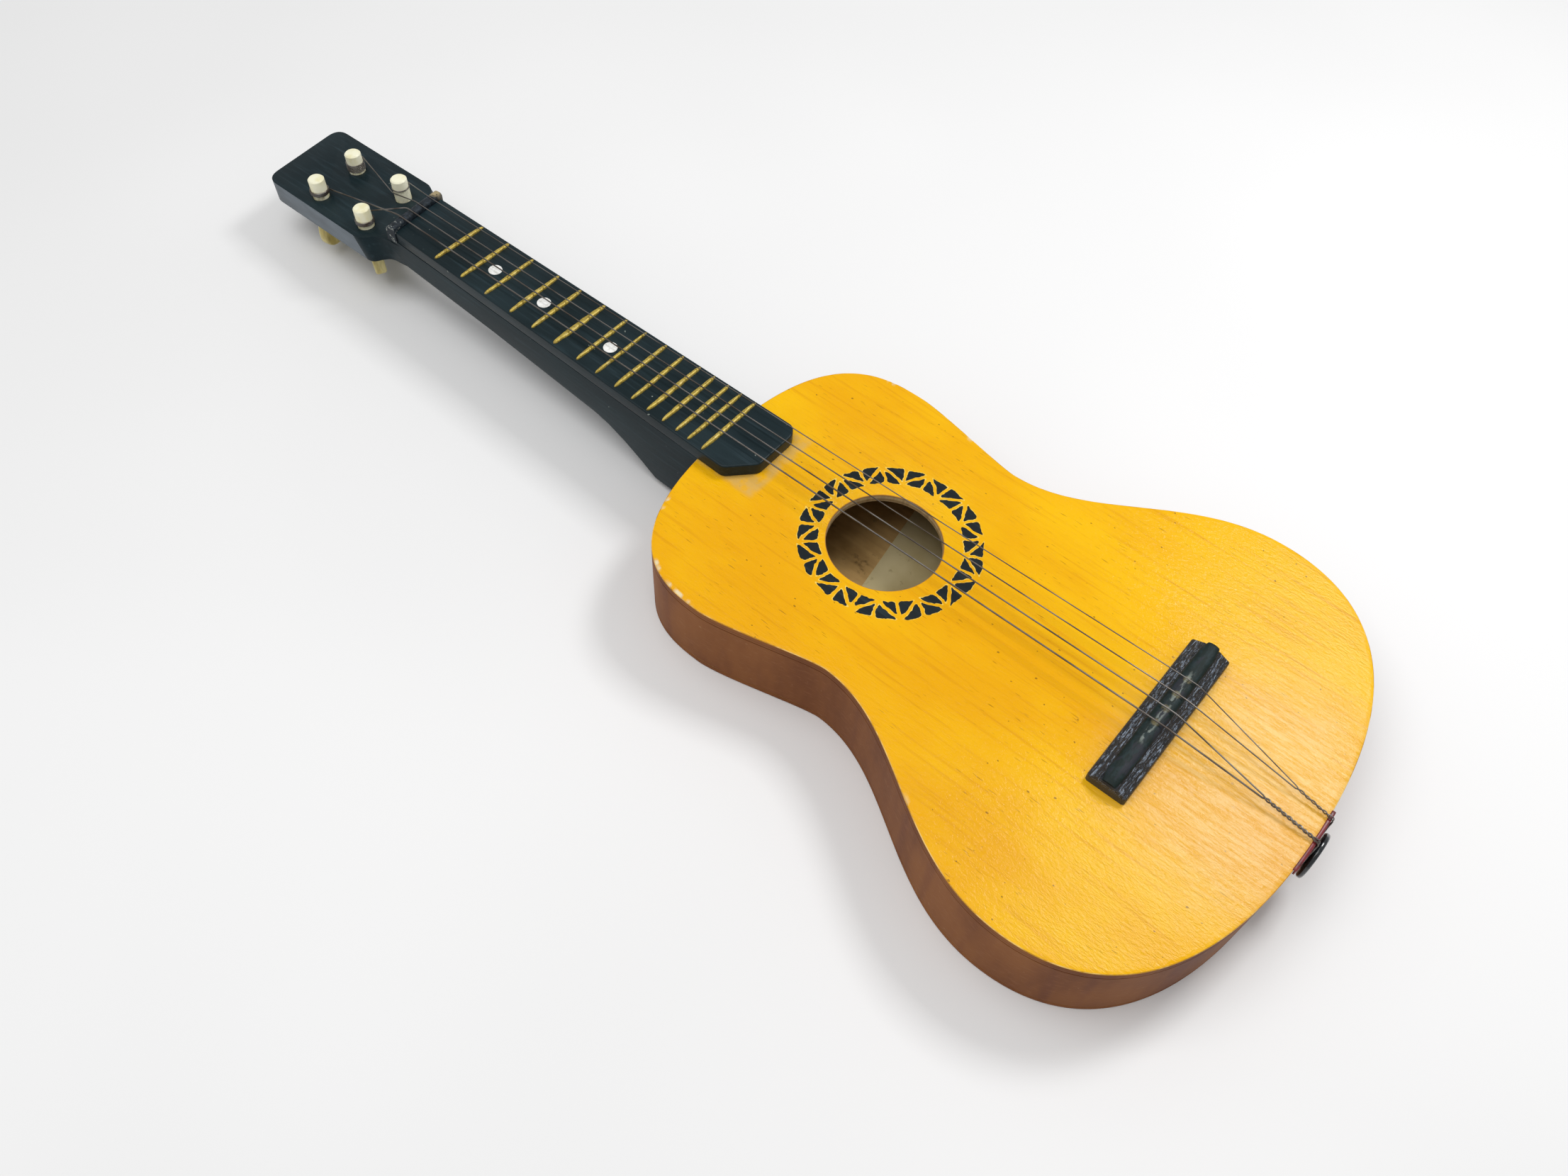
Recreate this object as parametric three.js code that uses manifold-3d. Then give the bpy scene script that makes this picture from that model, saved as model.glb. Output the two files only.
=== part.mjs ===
// A small four-string guitar: a deep-waisted plywood body with a flat back, a neck with a heel and a
// tilted head in one piece, friction pegs, a loose bridge and an end button that holds the strings.
// Millimetres. +Y points to the head, +X to the treble side, +Z out of the soundboard. The origin is on
// the outer face of the back, on the neck's centre line, under the middle of the stencilled ring.
import * as THREE from "three";
import { mergeVertices } from "three/addons/utils/BufferGeometryUtils.js";
import Module from "manifold-3d";

const wasm = await Module();
wasm.setup();

// Clearances
const SEAM = 0.3; // between a piece and the neighbour that shapes it
const FIT = 0.25; // round a piece that sits in a slot or a recess
const STRING_GAP = 0.25; // under a string where it bears on a nut, a saddle or an edge

// Body
const BODY_DEPTH = 42;
const BACK_THICKNESS = 3;
const TOP_THICKNESS = 4.5;
const RIB_THICKNESS = 2.5;
const SHOULDER_Y = 94;
const UPPER_BOUT_Y = 38.5;
const WAIST_Y = -21.5;
const LOWER_BOUT_Y = -137;
const TAIL_Y = -211.5;
// Half-widths. The two sides are bent by hand and differ a little.
const BASS_SIDE = { sign: -1, upper: 83, waist: 69.5, lower: 115 };
const TREBLE_SIDE = { sign: 1, upper: 78, waist: 68.5, lower: 116.5 };
const OUTLINE_STEPS = 16; // points on each of the four curves of a side

// Soundhole
const HOLE_RADIUS = 26;
const HOLE_X = -1.5;

// Inside the body
const LINING_WIDTH = 5;
const LINING_HEIGHT = 6;
const NECK_BLOCK = { width: 52, length: 20 };
const TAIL_BLOCK = { width: 46, length: 13 };
const BRACE_WIDTH = 8;
const BRACE_HEIGHT = 9;
const TOP_BRACES_Y = [52, -46, -158];
const BACK_BRACES_Y = [58, -112];
const LABEL = { width: 64, height: 56, thickness: 0.25, x: 21, y: -18, turn: 0.15 };

// Neck, from the shoulder of the body to the nut
const NECK_LENGTH = 210;
// Distances of the fretboard's two edges from the centre line, at the nut and at the shoulder.
const BASS_EDGE = { atNut: 17, atBody: 21.2 };
const TREBLE_EDGE = { atNut: 16, atBody: 18.4 };
const NECK_DEPTH_AT_NUT = 19;
const NECK_DEPTH_AT_HEEL = 26;
const NECK_EDGE = { across: 9, down: 7 }; // rounding of the lower edges
const HEEL_EDGE = { across: 4, down: 4 };
const HEEL_BLOCK = 28; // full-depth part of the heel, along the neck
const HEEL_SLOPE = 43; // length of its slope
const HEEL_STOPS_SHORT = 1; // the heel ends this far above the back's outer face

// Head. Each side: where it reaches its width behind the nut, its half-widths there and at the end, and
// how far behind the nut it ends.
const HEAD_BASS = { flare: 13.5, wide: 26.5, endWide: 25, end: 91.5 };
const HEAD_TREBLE = { flare: 17, wide: 26.5, endWide: 28, end: 97 };
const HEAD_THICKNESS = 12;
const HEAD_STEP = 2.5; // the drop behind the nut
const HEAD_TILT = 3.5 * (Math.PI / 180);
const HEAD_CORNER = 8;
const HEAD_SHOULDER = 4; // rounding of the two corners behind the flare
const HEAD_ROOT = 9; // the head's sides start this far before the nut's back
const HEAD_LEAN = 6.8; // the flare is sawn aslant, so its shoulders lie nearer to the nut on the underside

// Fretboard
const FRETBOARD_THICKNESS = 7;
const FRETBOARD_OVER_TOP = 28; // the tongue that lies on the soundboard
const BASS_CORNER = { across: 12.5, along: 11.5 };
const TREBLE_CORNER = { across: 4.5, along: 3.5 };
const FRET_HEIGHT = 1.2;
const FRET_TANG = { width: 0.6, depth: 1.8 };
const FRET_END_INSET = 0.4;
const FRET_CROWN = { bevel: 0.4, tip: 0.2, tangInset: 2 }; // the tang stops short of the crown's ends
// Each fret: its place as a share of the fretboard from the nut, and the width of its crown.
const FRETS = [
  [0.13, 2.4],
  [0.21, 2.4],
  [0.284, 2.2],
  [0.359, 2.6],
  [0.4235, 2.4],
  [0.489, 3.2],
  [0.553, 2.2],
  [0.607, 1.8],
  [0.66, 2.4],
  [0.707, 2.2],
  [0.75, 2.6],
  [0.789, 2.4],
  [0.826, 2.4],
  [0.858, 2.2],
  [0.894, 2.4],
];
const DOT_AFTER_FRET = [2, 4, 7];
const DOT = { radius: 3.5, depth: 1.2, proud: 0.2, x: -2 };

// Nut
const NUT_LENGTH = 6;
const NUT_TURN = 0.08; // the treble end is set towards the head
const NUT_OVERHANG = 1; // past the edge of the fretboard
const NUT_ABOVE_FRETBOARD = 2.5;
const NUT_SLOT = { width: 1.4, depth: 0.7 };

// Pegs, in the order of their strings from the treble side: place behind the nut, height above the head,
// turn of the grip, and height at which the string leaves its winding.
const PEG_RADIUS = 4.3;
const PEG_CLEARANCE = 0.3;
const PEG_COLLAR = { radius: 6, height: 2, gap: 0.6 };
const PEG_GRIP = { width: 16, length: 15, thickness: 6 };
const PEGS = [
  { x: 10.5, back: 21, height: 12.5, turn: 0.5, wound: 8 },
  { x: 10.4, back: 59, height: 11, turn: -0.3, wound: 6.75 },
  { x: -16.5, back: 19, height: 11, turn: 1.1, wound: 5 },
  { x: -16, back: 56.5, height: 11, turn: 0.2, wound: 1.7 },
];

// Strings, from the treble side
const STRING_DIAMETERS = [0.5, 0.6, 0.7, 0.8];
const STRING_SIDES = 6;
const STRINGS_AT_NUT_X = [11.1, 3.9, -2.3, -8.9];
const STRINGS_AT_SADDLE_X = [20.1, 11, 2.5, -5.6];
// Behind the saddle the strings run together in two pairs, and stay so to the tail.
const PAIRS = [
  { meet: { x: 9.2, y: -194.7 }, tailX: 7.7 },
  { meet: { x: -3.8, y: -186.6 }, tailX: -4.9 },
];
const PAIR_SPACING = 1.3;
const WINDING_TURNS = 3;
const WINDING_FIT = 0.15; // between a peg and its winding
// One string is led round the bass side of another string's peg, at this height above the head.
const LED_ROUND = { string: 1, peg: 0, above: 5.5 };

// Bridge and saddle
const BRIDGE = { x: 0.75, y: -138.2, length: 83.7, width: 18, edge: 4.5, height: 6.4, ridge: 7 };
const BRIDGE_CORNER = 1.2;
const BRIDGE_TRAVEL = 3; // the strings leave the saddle behind this, so that the bridge can be moved
const SADDLE = { width: 3.8, seat: 2.2, above: 2.1, length: 80, overhang: 0.8 };

// Tail
const TAIL_SADDLE = { from: 11.6, to: -21, wall: 0.8, lip: 0.5, drop: 2.8 };
const BUTTON = { x: -1.6, z: 28, radius: 10.6, thickness: 2.4, round: 0.7 };
const BUTTON_SHANK = { radius: 5, length: 2 };
const BUTTON_SCREW = { radius: 1.6, head: 3.2, headHeight: 1.4, sunk: 0.3, length: 17 };
const NECK_SCREW = { radius: 2, head: 4, headHeight: 2.4, length: 46, z: 22 };

// Levels and places that follow
const TOP_FACE = BODY_DEPTH;
const TOP_UNDERSIDE = BODY_DEPTH - TOP_THICKNESS;
const NUT_Y = SHOULDER_Y + NECK_LENGTH;
const NUT_BACK_Y = NUT_Y + NUT_LENGTH;
const FRETBOARD_END_Y = SHOULDER_Y - FRETBOARD_OVER_TOP;
const FRETBOARD_LENGTH = NUT_Y - FRETBOARD_END_Y;
const FRETBOARD_TOP = TOP_FACE + FRETBOARD_THICKNESS;
const NUT_TOP = FRETBOARD_TOP + NUT_ABOVE_FRETBOARD;
const SADDLE_TOP = TOP_FACE + BRIDGE.height + SADDLE.above;
const INSIDE_RIB = RIB_THICKNESS + SEAM;
const INSIDE_LINING = INSIDE_RIB + LINING_WIDTH + SEAM;
const BUTTON_BACK_Y = TAIL_Y - SEAM - BUTTON_SHANK.length;
const BUTTON_FACE_Y = BUTTON_BACK_Y - BUTTON.thickness;

const FINISHES = {
  varnished_top: [0xe9ad0c, 0.35, 0],
  brown_ribs: [0x7a4a32, 0.75, 0],
  raw_wood: [0xc9a06a, 0.8, 0],
  black_paint: [0x1e2a30, 0.4, 0],
  fret_gold: [0xcdb95f, 0.45, 0.6],
  white_dot: [0xf4f4f0, 0.4, 0],
  steel_string: [0x8c8c88, 0.35, 1],
  ivory_peg: [0xf2ecc4, 0.5, 0],
  red_strip: [0x6e1f22, 0.45, 0],
  black_button: [0x14181a, 0.15, 0],
  steel_screw: [0x9a9a98, 0.4, 1],
  paper: [0xd8c9a4, 0.9, 0],
};

const materials = {};
for (const [name, [color, roughness, metalness]] of Object.entries(FINISHES)) {
  materials[name] = new THREE.MeshStandardMaterial({ name, color, roughness, metalness });
}

const guitar = new THREE.Group();

function addPiece(name, geometry, finish, parent = guitar) {
  const mesh = new THREE.Mesh(geometry, materials[finish]);
  mesh.name = name;
  parent.add(mesh);
  return mesh;
}

// Solids: booleans between closed geometries.

function toSolid(geometry) {
  const bare = geometry.index ? geometry.toNonIndexed() : geometry.clone();
  bare.deleteAttribute("normal");
  bare.deleteAttribute("uv");
  const merged = mergeVertices(bare, 1e-4);
  const vertProperties = merged.attributes.position.array;
  const triVerts = new Uint32Array(merged.index.array);
  return new wasm.Manifold(new wasm.Mesh({ numProp: 3, vertProperties, triVerts }));
}

function toGeometry(solid) {
  const mesh = solid.getMesh();
  const geometry = new THREE.BufferGeometry();
  geometry.setAttribute("position", new THREE.BufferAttribute(mesh.vertProperties, 3));
  geometry.setIndex(new THREE.BufferAttribute(mesh.triVerts, 1));
  geometry.computeVertexNormals();
  return geometry;
}

function join(...geometries) {
  return toGeometry(geometries.map(toSolid).reduce((all, one) => all.add(one)));
}

function cut(geometry, ...tools) {
  return toGeometry(tools.map(toSolid).reduce((rest, tool) => rest.subtract(tool), toSolid(geometry)));
}

function common(first, second) {
  return toGeometry(toSolid(first).intersect(toSolid(second)));
}

// A flat slab of an outline in the XY plane, from one level to another.
function slab(outline, low, high, holes = []) {
  const shape = new THREE.Shape(outline);
  for (const hole of holes) {
    shape.holes.push(new THREE.Path(hole));
  }
  const geometry = new THREE.ExtrudeGeometry(shape, { depth: high - low, bevelEnabled: false });
  return geometry.translate(0, 0, low);
}

// A box between two corners.
function block(x0, x1, y0, y1, z0, z1) {
  const geometry = new THREE.BoxGeometry(x1 - x0, y1 - y0, z1 - z0);
  return geometry.translate((x0 + x1) / 2, (y0 + y1) / 2, (z0 + z1) / 2);
}

// A round bar along Y, between two places.
function barAlongY(radius, x, z, y0, y1, sides = 24) {
  const geometry = new THREE.CylinderGeometry(radius, radius, y1 - y0, sides);
  return geometry.translate(x, (y0 + y1) / 2, z);
}

// A round bar along Z, between two levels.
function barAlongZ(radius, x, y, z0, z1, sides = 24) {
  const geometry = new THREE.CylinderGeometry(radius, radius, z1 - z0, sides);
  return geometry.rotateX(Math.PI / 2).translate(x, y, (z0 + z1) / 2);
}

// A bar along X, between two places, with a section drawn as (y, z).
function barAlongX(section, x0, x1) {
  const bar = new THREE.ExtrudeGeometry(section, { depth: x1 - x0, bevelEnabled: false, curveSegments: 5 });
  return bar.applyMatrix4(new THREE.Matrix4().set(0, 0, 1, x0, 1, 0, 0, 0, 0, 1, 0, 0, 0, 0, 0, 1));
}

// A solid through a row of rings that have the same number of points, closed by a fan at each end.
function loft(rings) {
  const count = rings[0].length;
  const corners = rings.flat().flatMap((p) => [p.x, p.y, p.z]);
  const index = [];
  for (let r = 0; r < rings.length - 1; r++) {
    for (let i = 0; i < count; i++) {
      const a = r * count + i;
      const b = r * count + ((i + 1) % count);
      index.push(a, b, b + count, a, b + count, a + count);
    }
  }
  const last = (rings.length - 1) * count;
  for (let i = 1; i < count - 1; i++) {
    index.push(0, i + 1, i, last, last + i, last + i + 1);
  }
  const geometry = new THREE.BufferGeometry();
  geometry.setAttribute("position", new THREE.Float32BufferAttribute(corners, 3));
  geometry.setIndex(index);
  return geometry;
}

// Body outline

// One side of the body, from the shoulder at the neck round to the tail.
function sideOutline(side) {
  const point = (x, y) => new THREE.Vector2(side.sign * x, y);
  const curves = [
    [point(0, SHOULDER_Y), point(side.upper, SHOULDER_Y), point(side.upper, UPPER_BOUT_Y + 19.5)],
    [point(side.upper, UPPER_BOUT_Y), point(side.upper, UPPER_BOUT_Y - 13.5), point(side.waist, WAIST_Y + 9)],
    [point(side.waist, WAIST_Y), point(side.waist, WAIST_Y - 41), point(side.lower, LOWER_BOUT_Y + 47.5)],
    [point(side.lower, LOWER_BOUT_Y), point(side.lower, LOWER_BOUT_Y - 20.5), point(side.lower - 6, TAIL_Y)],
  ];
  const tail = point(0, TAIL_Y);
  const path = [];
  curves.forEach(([start, pull, push], i) => {
    const end = i < curves.length - 1 ? curves[i + 1][0] : tail;
    const curve = new THREE.CubicBezierCurve(start, pull, push, end);
    path.push(...curve.getSpacedPoints(OUTLINE_STEPS).slice(0, -1));
  });
  path.push(tail);
  return path;
}

// Moves each point of a side inwards, square to the curve. The ends stay on the centre line.
function insetSide(path, inset, sign) {
  return path.map((p, i) => {
    if (i === 0) {
      return new THREE.Vector2(0, p.y - inset);
    }
    if (i === path.length - 1) {
      return new THREE.Vector2(0, p.y + inset);
    }
    const along = path[i + 1].clone().sub(path[i - 1]).normalize();
    const inward = new THREE.Vector2(along.y, -along.x).multiplyScalar(inset * sign);
    return p.clone().add(inward);
  });
}

function bodySide(side, inset) {
  return insetSide(sideOutline(side), inset, side.sign);
}

// The whole outline, down the treble side and back up the bass side.
function bodyOutline(inset) {
  const treble = bodySide(TREBLE_SIDE, inset);
  const bass = bodySide(BASS_SIDE, inset).reverse();
  return [...treble, ...bass.slice(1, -1)];
}

function soundboard() {
  const hole = new THREE.Path().absarc(HOLE_X, 0, HOLE_RADIUS, 0, 2 * Math.PI).getPoints(24);
  addPiece("soundboard", slab(bodyOutline(0), TOP_UNDERSIDE, TOP_FACE, [hole]), "varnished_top");
}

function backPanel() {
  addPiece("back_panel", slab(bodyOutline(0), 0, BACK_THICKNESS), "brown_ribs");
}

function neckScrewHole() {
  const start = SHOULDER_Y - NECK_BLOCK.length - INSIDE_RIB;
  return barAlongY(NECK_SCREW.radius + SEAM, 0, NECK_SCREW.z, start - 1, start + NECK_SCREW.length + 1);
}

function buttonScrewHole() {
  const end = BUTTON_FACE_Y + BUTTON_SCREW.length + 1;
  return barAlongY(BUTTON_SCREW.radius + SEAM, BUTTON.x, BUTTON.z, BUTTON_FACE_Y - 1, end, 16);
}

function rib(name, side) {
  const outer = bodySide(side, 0);
  const inner = bodySide(side, RIB_THICKNESS).reverse();
  const wall = slab([...outer, ...inner], BACK_THICKNESS, TOP_UNDERSIDE);
  addPiece(name, cut(wall, neckScrewHole(), buttonScrewHole()), "brown_ribs");
}

// The blocks fill the body's depth and follow the ribs.
function blocks() {
  const inside = slab(bodyOutline(INSIDE_RIB), BACK_THICKNESS, TOP_UNDERSIDE);
  const neckEnd = SHOULDER_Y - INSIDE_RIB;
  const tailEnd = TAIL_Y + INSIDE_RIB;
  const neckHalf = NECK_BLOCK.width / 2;
  const tailHalf = TAIL_BLOCK.width / 2;
  const neckBlock = block(-neckHalf, neckHalf, neckEnd - NECK_BLOCK.length, neckEnd + 1, 0, BODY_DEPTH);
  const tailBlock = block(-tailHalf, tailHalf, tailEnd - 1, tailEnd + TAIL_BLOCK.length, 0, BODY_DEPTH);
  addPiece("neck_block", cut(common(neckBlock, inside), neckScrewHole()), "raw_wood");
  addPiece("tail_block", cut(common(tailBlock, inside), buttonScrewHole()), "raw_wood");
}

// Strips in the corners between the ribs and the two plates, from block to block.
function lining(name, side, low) {
  const outer = bodySide(side, INSIDE_RIB);
  const inner = bodySide(side, INSIDE_RIB + LINING_WIDTH).reverse();
  const strip = slab([...outer, ...inner], low, low + LINING_HEIGHT);
  const neckHalf = NECK_BLOCK.width / 2 + SEAM;
  const tailHalf = TAIL_BLOCK.width / 2 + SEAM;
  const neckEnd = SHOULDER_Y - INSIDE_RIB - NECK_BLOCK.length - SEAM;
  const tailEnd = TAIL_Y + INSIDE_RIB + TAIL_BLOCK.length + SEAM;
  const atNeck = block(-neckHalf, neckHalf, neckEnd, SHOULDER_Y, 0, BODY_DEPTH);
  const atTail = block(-tailHalf, tailHalf, TAIL_Y, tailEnd, 0, BODY_DEPTH);
  addPiece(name, cut(strip, atNeck, atTail), "raw_wood");
}

// Bars across a plate, between the linings.
function brace(name, y, low) {
  const inside = slab(bodyOutline(INSIDE_LINING), low, low + BRACE_HEIGHT);
  const reach = Math.max(BASS_SIDE.lower, TREBLE_SIDE.lower);
  const bar = block(-reach, reach, y - BRACE_WIDTH / 2, y + BRACE_WIDTH / 2, 0, BODY_DEPTH);
  addPiece(name, common(inside, bar), "raw_wood");
}

function label() {
  const paper = new THREE.BoxGeometry(LABEL.width, LABEL.height, LABEL.thickness);
  paper.rotateZ(LABEL.turn);
  paper.translate(LABEL.x, LABEL.y, BACK_THICKNESS + LABEL.thickness / 2);
  addPiece("label", paper, "paper");
}

function insideOfBody() {
  blocks();
  const topLining = TOP_UNDERSIDE - LINING_HEIGHT;
  lining("lining_top_bass", BASS_SIDE, topLining);
  lining("lining_top_treble", TREBLE_SIDE, topLining);
  lining("lining_back_bass", BASS_SIDE, BACK_THICKNESS);
  lining("lining_back_treble", TREBLE_SIDE, BACK_THICKNESS);
  TOP_BRACES_Y.forEach((y, i) => brace(`soundboard_brace_${i + 1}`, y, TOP_UNDERSIDE - BRACE_HEIGHT));
  BACK_BRACES_Y.forEach((y, i) => brace(`back_brace_${i + 1}`, y, BACK_THICKNESS));
  label();
}

// Neck and head

const headGroup = new THREE.Group();
headGroup.position.set(0, NUT_BACK_Y, TOP_FACE - HEAD_STEP);
headGroup.rotation.x = -HEAD_TILT;
headGroup.updateMatrix();
guitar.add(headGroup);

// Distance of one edge of the fretboard and the neck from the centre line, at a place along them.
function edgeAt(edge, y) {
  const share = (y - SHOULDER_Y) / NECK_LENGTH;
  return THREE.MathUtils.lerp(edge.atBody, edge.atNut, Math.min(share, 1));
}

// The same place on a line across the neck that is turned as the nut is.
function turnedY(x, y) {
  return y + x * Math.tan(NUT_TURN);
}

// The section of the neck at a place along it: flat on top, with straight sides and rounded lower edges.
function neckRing(y, depth, edge) {
  const treble = edgeAt(TREBLE_EDGE, y);
  const bass = edgeAt(BASS_EDGE, y);
  const arc = Array.from({ length: 7 }, (_, i) => (i / 6) * (Math.PI / 2));
  const corner = arc.map((a) => [edge.across * (1 - Math.cos(a)), edge.down * (1 - Math.sin(a)) - depth]);
  const right = corner.map(([inward, z]) => [treble - inward, z]);
  const left = corner.map(([inward, z]) => [inward - bass, z]).reverse();
  const ring = [[-bass, 0], [treble, 0], ...right, ...left];
  return ring.map(([x, z]) => new THREE.Vector3(x, y, TOP_FACE + z));
}

function neckBlank() {
  const heelDepth = BODY_DEPTH - HEEL_STOPS_SHORT;
  const slopeStart = SHOULDER_Y + HEEL_BLOCK;
  const slopeEnd = slopeStart + HEEL_SLOPE;
  const headEnd = NUT_BACK_Y + HEAD_TREBLE.flare;
  const headDepth = HEAD_STEP + HEAD_TREBLE.flare * Math.tan(HEAD_TILT) + HEAD_THICKNESS - SEAM;
  const slopeShare = [0, 0.2, 0.45, 0.7, 0.88, 1];
  const slope = slopeShare.map((s) => {
    const eased = Math.sin((s * Math.PI) / 2);
    const edge = {
      across: THREE.MathUtils.lerp(HEEL_EDGE.across, NECK_EDGE.across, s),
      down: THREE.MathUtils.lerp(HEEL_EDGE.down, NECK_EDGE.down, s),
    };
    const depth = THREE.MathUtils.lerp(heelDepth, NECK_DEPTH_AT_HEEL, eased);
    return neckRing(slopeStart + s * HEEL_SLOPE, depth, edge);
  });
  return loft([
    neckRing(SHOULDER_Y - 6, heelDepth, HEEL_EDGE),
    ...slope,
    neckRing((slopeEnd + NUT_Y) / 2, (NECK_DEPTH_AT_HEEL + NECK_DEPTH_AT_NUT) / 2 - 1, NECK_EDGE),
    neckRing(NUT_Y, NECK_DEPTH_AT_NUT, NECK_EDGE),
    neckRing((NUT_Y + headEnd) / 2, (NECK_DEPTH_AT_NUT + headDepth) / 2 + 0.6, NECK_EDGE),
    neckRing(headEnd, headDepth, NECK_EDGE),
  ]);
}

// Draws a line up to a rounded corner, and the corner.
function addCorner(shape, before, corner, after, size) {
  const from = before.clone().sub(corner).setLength(size).add(corner);
  const to = after.clone().sub(corner).setLength(size).add(corner);
  shape.lineTo(from.x, from.y);
  shape.quadraticCurveTo(corner.x, corner.y, to.x, to.y);
}

// The head's outline in its own tilted plane, with the nut's back edge at 0.
function headOutline() {
  const half = (sign, edge, head) => ({
    root: new THREE.Vector2(sign * edge.atNut, -HEAD_ROOT),
    hollow: new THREE.Vector2(sign * (edge.atNut + 1), head.flare / 2),
    shoulder: new THREE.Vector2(sign * head.wide, head.flare),
    end: new THREE.Vector2(sign * head.endWide, head.end),
  });
  const bass = half(-1, BASS_EDGE, HEAD_BASS);
  const treble = half(1, TREBLE_EDGE, HEAD_TREBLE);
  const shape = new THREE.Shape();
  shape.moveTo(bass.root.x + 1, -HEAD_ROOT - 3);
  shape.lineTo(treble.root.x - 1, -HEAD_ROOT - 3);
  shape.lineTo(treble.root.x, treble.root.y);
  addCorner(shape, treble.root, treble.hollow, treble.shoulder, treble.shoulder.distanceTo(treble.hollow) / 2);
  addCorner(shape, treble.hollow, treble.shoulder, treble.end, HEAD_SHOULDER);
  addCorner(shape, treble.shoulder, treble.end, bass.end, HEAD_CORNER);
  addCorner(shape, treble.end, bass.end, bass.shoulder, HEAD_CORNER);
  addCorner(shape, bass.end, bass.shoulder, bass.hollow, HEAD_SHOULDER);
  addCorner(shape, bass.shoulder, bass.hollow, bass.root, bass.shoulder.distanceTo(bass.hollow) / 2);
  shape.lineTo(bass.root.x, bass.root.y);
  return shape.getPoints(8);
}

// The head's slab, with the flare leaning towards the nut on the underside.
function headBlank() {
  const blank = slab(headOutline(), -HEAD_THICKNESS, 0);
  const corners = blank.attributes.position;
  for (let i = 0; i < corners.count; i++) {
    const [x, y] = [corners.getX(i), corners.getY(i)];
    const shoulder = (x < 0 ? HEAD_BASS : HEAD_TREBLE).flare;
    const share = THREE.MathUtils.clamp((y + HEAD_ROOT) / (shoulder + HEAD_ROOT), 0, 1);
    const onFlare = y < shoulder + HEAD_SHOULDER + 1;
    if (onFlare && corners.getZ(i) < -HEAD_THICKNESS / 2) {
      corners.setY(i, y - HEAD_LEAN * share);
    }
  }
  return blank;
}

// Everything above the head's face, behind the nut's turned back edge.
function roomOverHead() {
  const reach = HEAD_TREBLE.end;
  const above = block(-reach, reach, -HEAD_ROOT, 2 * reach, 0, BODY_DEPTH).applyMatrix4(headGroup.matrix);
  const behindNut = [
    new THREE.Vector2(-reach, turnedY(-reach, NUT_BACK_Y)),
    new THREE.Vector2(reach, turnedY(reach, NUT_BACK_Y)),
    new THREE.Vector2(reach, NUT_BACK_Y + 2 * reach),
    new THREE.Vector2(-reach, NUT_BACK_Y + 2 * reach),
  ];
  return common(above, slab(behindNut, 0, 2 * BODY_DEPTH));
}

function neck() {
  const head = headBlank().applyMatrix4(headGroup.matrix);
  const body = slab(bodyOutline(-SEAM), -1, BODY_DEPTH + 1);
  const pegHoles = PEGS.map((peg) => {
    const radius = PEG_RADIUS + PEG_CLEARANCE;
    return barAlongZ(radius, peg.x, peg.back, -HEAD_THICKNESS - 5, 5).applyMatrix4(headGroup.matrix);
  });
  const wood = cut(join(neckBlank(), head), roomOverHead(), body, neckScrewHole(), ...pegHoles);
  addPiece("neck", wood, "black_paint");
}

function fretboardOutline() {
  const end = FRETBOARD_END_Y;
  const bass = edgeAt(BASS_EDGE, end);
  const treble = edgeAt(TREBLE_EDGE, end);
  const points = [
    [TREBLE_EDGE.atNut, turnedY(TREBLE_EDGE.atNut, NUT_Y - SEAM)],
    [-BASS_EDGE.atNut, turnedY(-BASS_EDGE.atNut, NUT_Y - SEAM)],
    [-bass, end + BASS_CORNER.along],
    [BASS_CORNER.across - bass, end],
    [treble - TREBLE_CORNER.across, end],
    [treble - TREBLE_CORNER.across * 0.3, end + TREBLE_CORNER.along * 0.3],
    [treble, end + TREBLE_CORNER.along],
  ];
  return points.map(([x, y]) => new THREE.Vector2(x, y));
}

function fretY(number) {
  return NUT_Y - FRETS[number - 1][0] * FRETBOARD_LENGTH;
}

function dotY(fret) {
  return (fretY(fret) + fretY(fret + 1)) / 2;
}

// The two ends of a fret's crown.
function fretSpan(y) {
  return [FRET_END_INSET - edgeAt(BASS_EDGE, y), edgeAt(TREBLE_EDGE, y) - FRET_END_INSET];
}

// A fret: a crown that is lens-shaped from above, on a thin tang that sits in its slot.
function fret(number) {
  const y = fretY(number);
  const [left, right] = fretSpan(y);
  const middle = (left + right) / 2;
  const width = FRETS[number - 1][1];
  const { bevel, tip, tangInset } = FRET_CROWN;
  const bulge = width - 2 * bevel + tip;
  const shape = new THREE.Shape();
  shape.moveTo(left + bevel, -tip);
  shape.quadraticCurveTo(middle, -bulge, right - bevel, -tip);
  shape.lineTo(right - bevel, tip);
  shape.quadraticCurveTo(middle, bulge, left + bevel, tip);
  const crown = new THREE.ExtrudeGeometry(shape, {
    depth: FRET_HEIGHT - 2 * bevel,
    bevelThickness: bevel,
    bevelSize: bevel,
    bevelSegments: 1,
    curveSegments: 6,
  });
  crown.translate(0, 0, bevel);
  const tangHalf = FRET_TANG.width / 2;
  const tang = block(left + tangInset, right - tangInset, -tangHalf, tangHalf, -FRET_TANG.depth, bevel);
  const name = `fret_${String(number).padStart(2, "0")}`;
  addPiece(name, join(crown, tang), "fret_gold").position.set(0, y, FRETBOARD_TOP);
}

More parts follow.
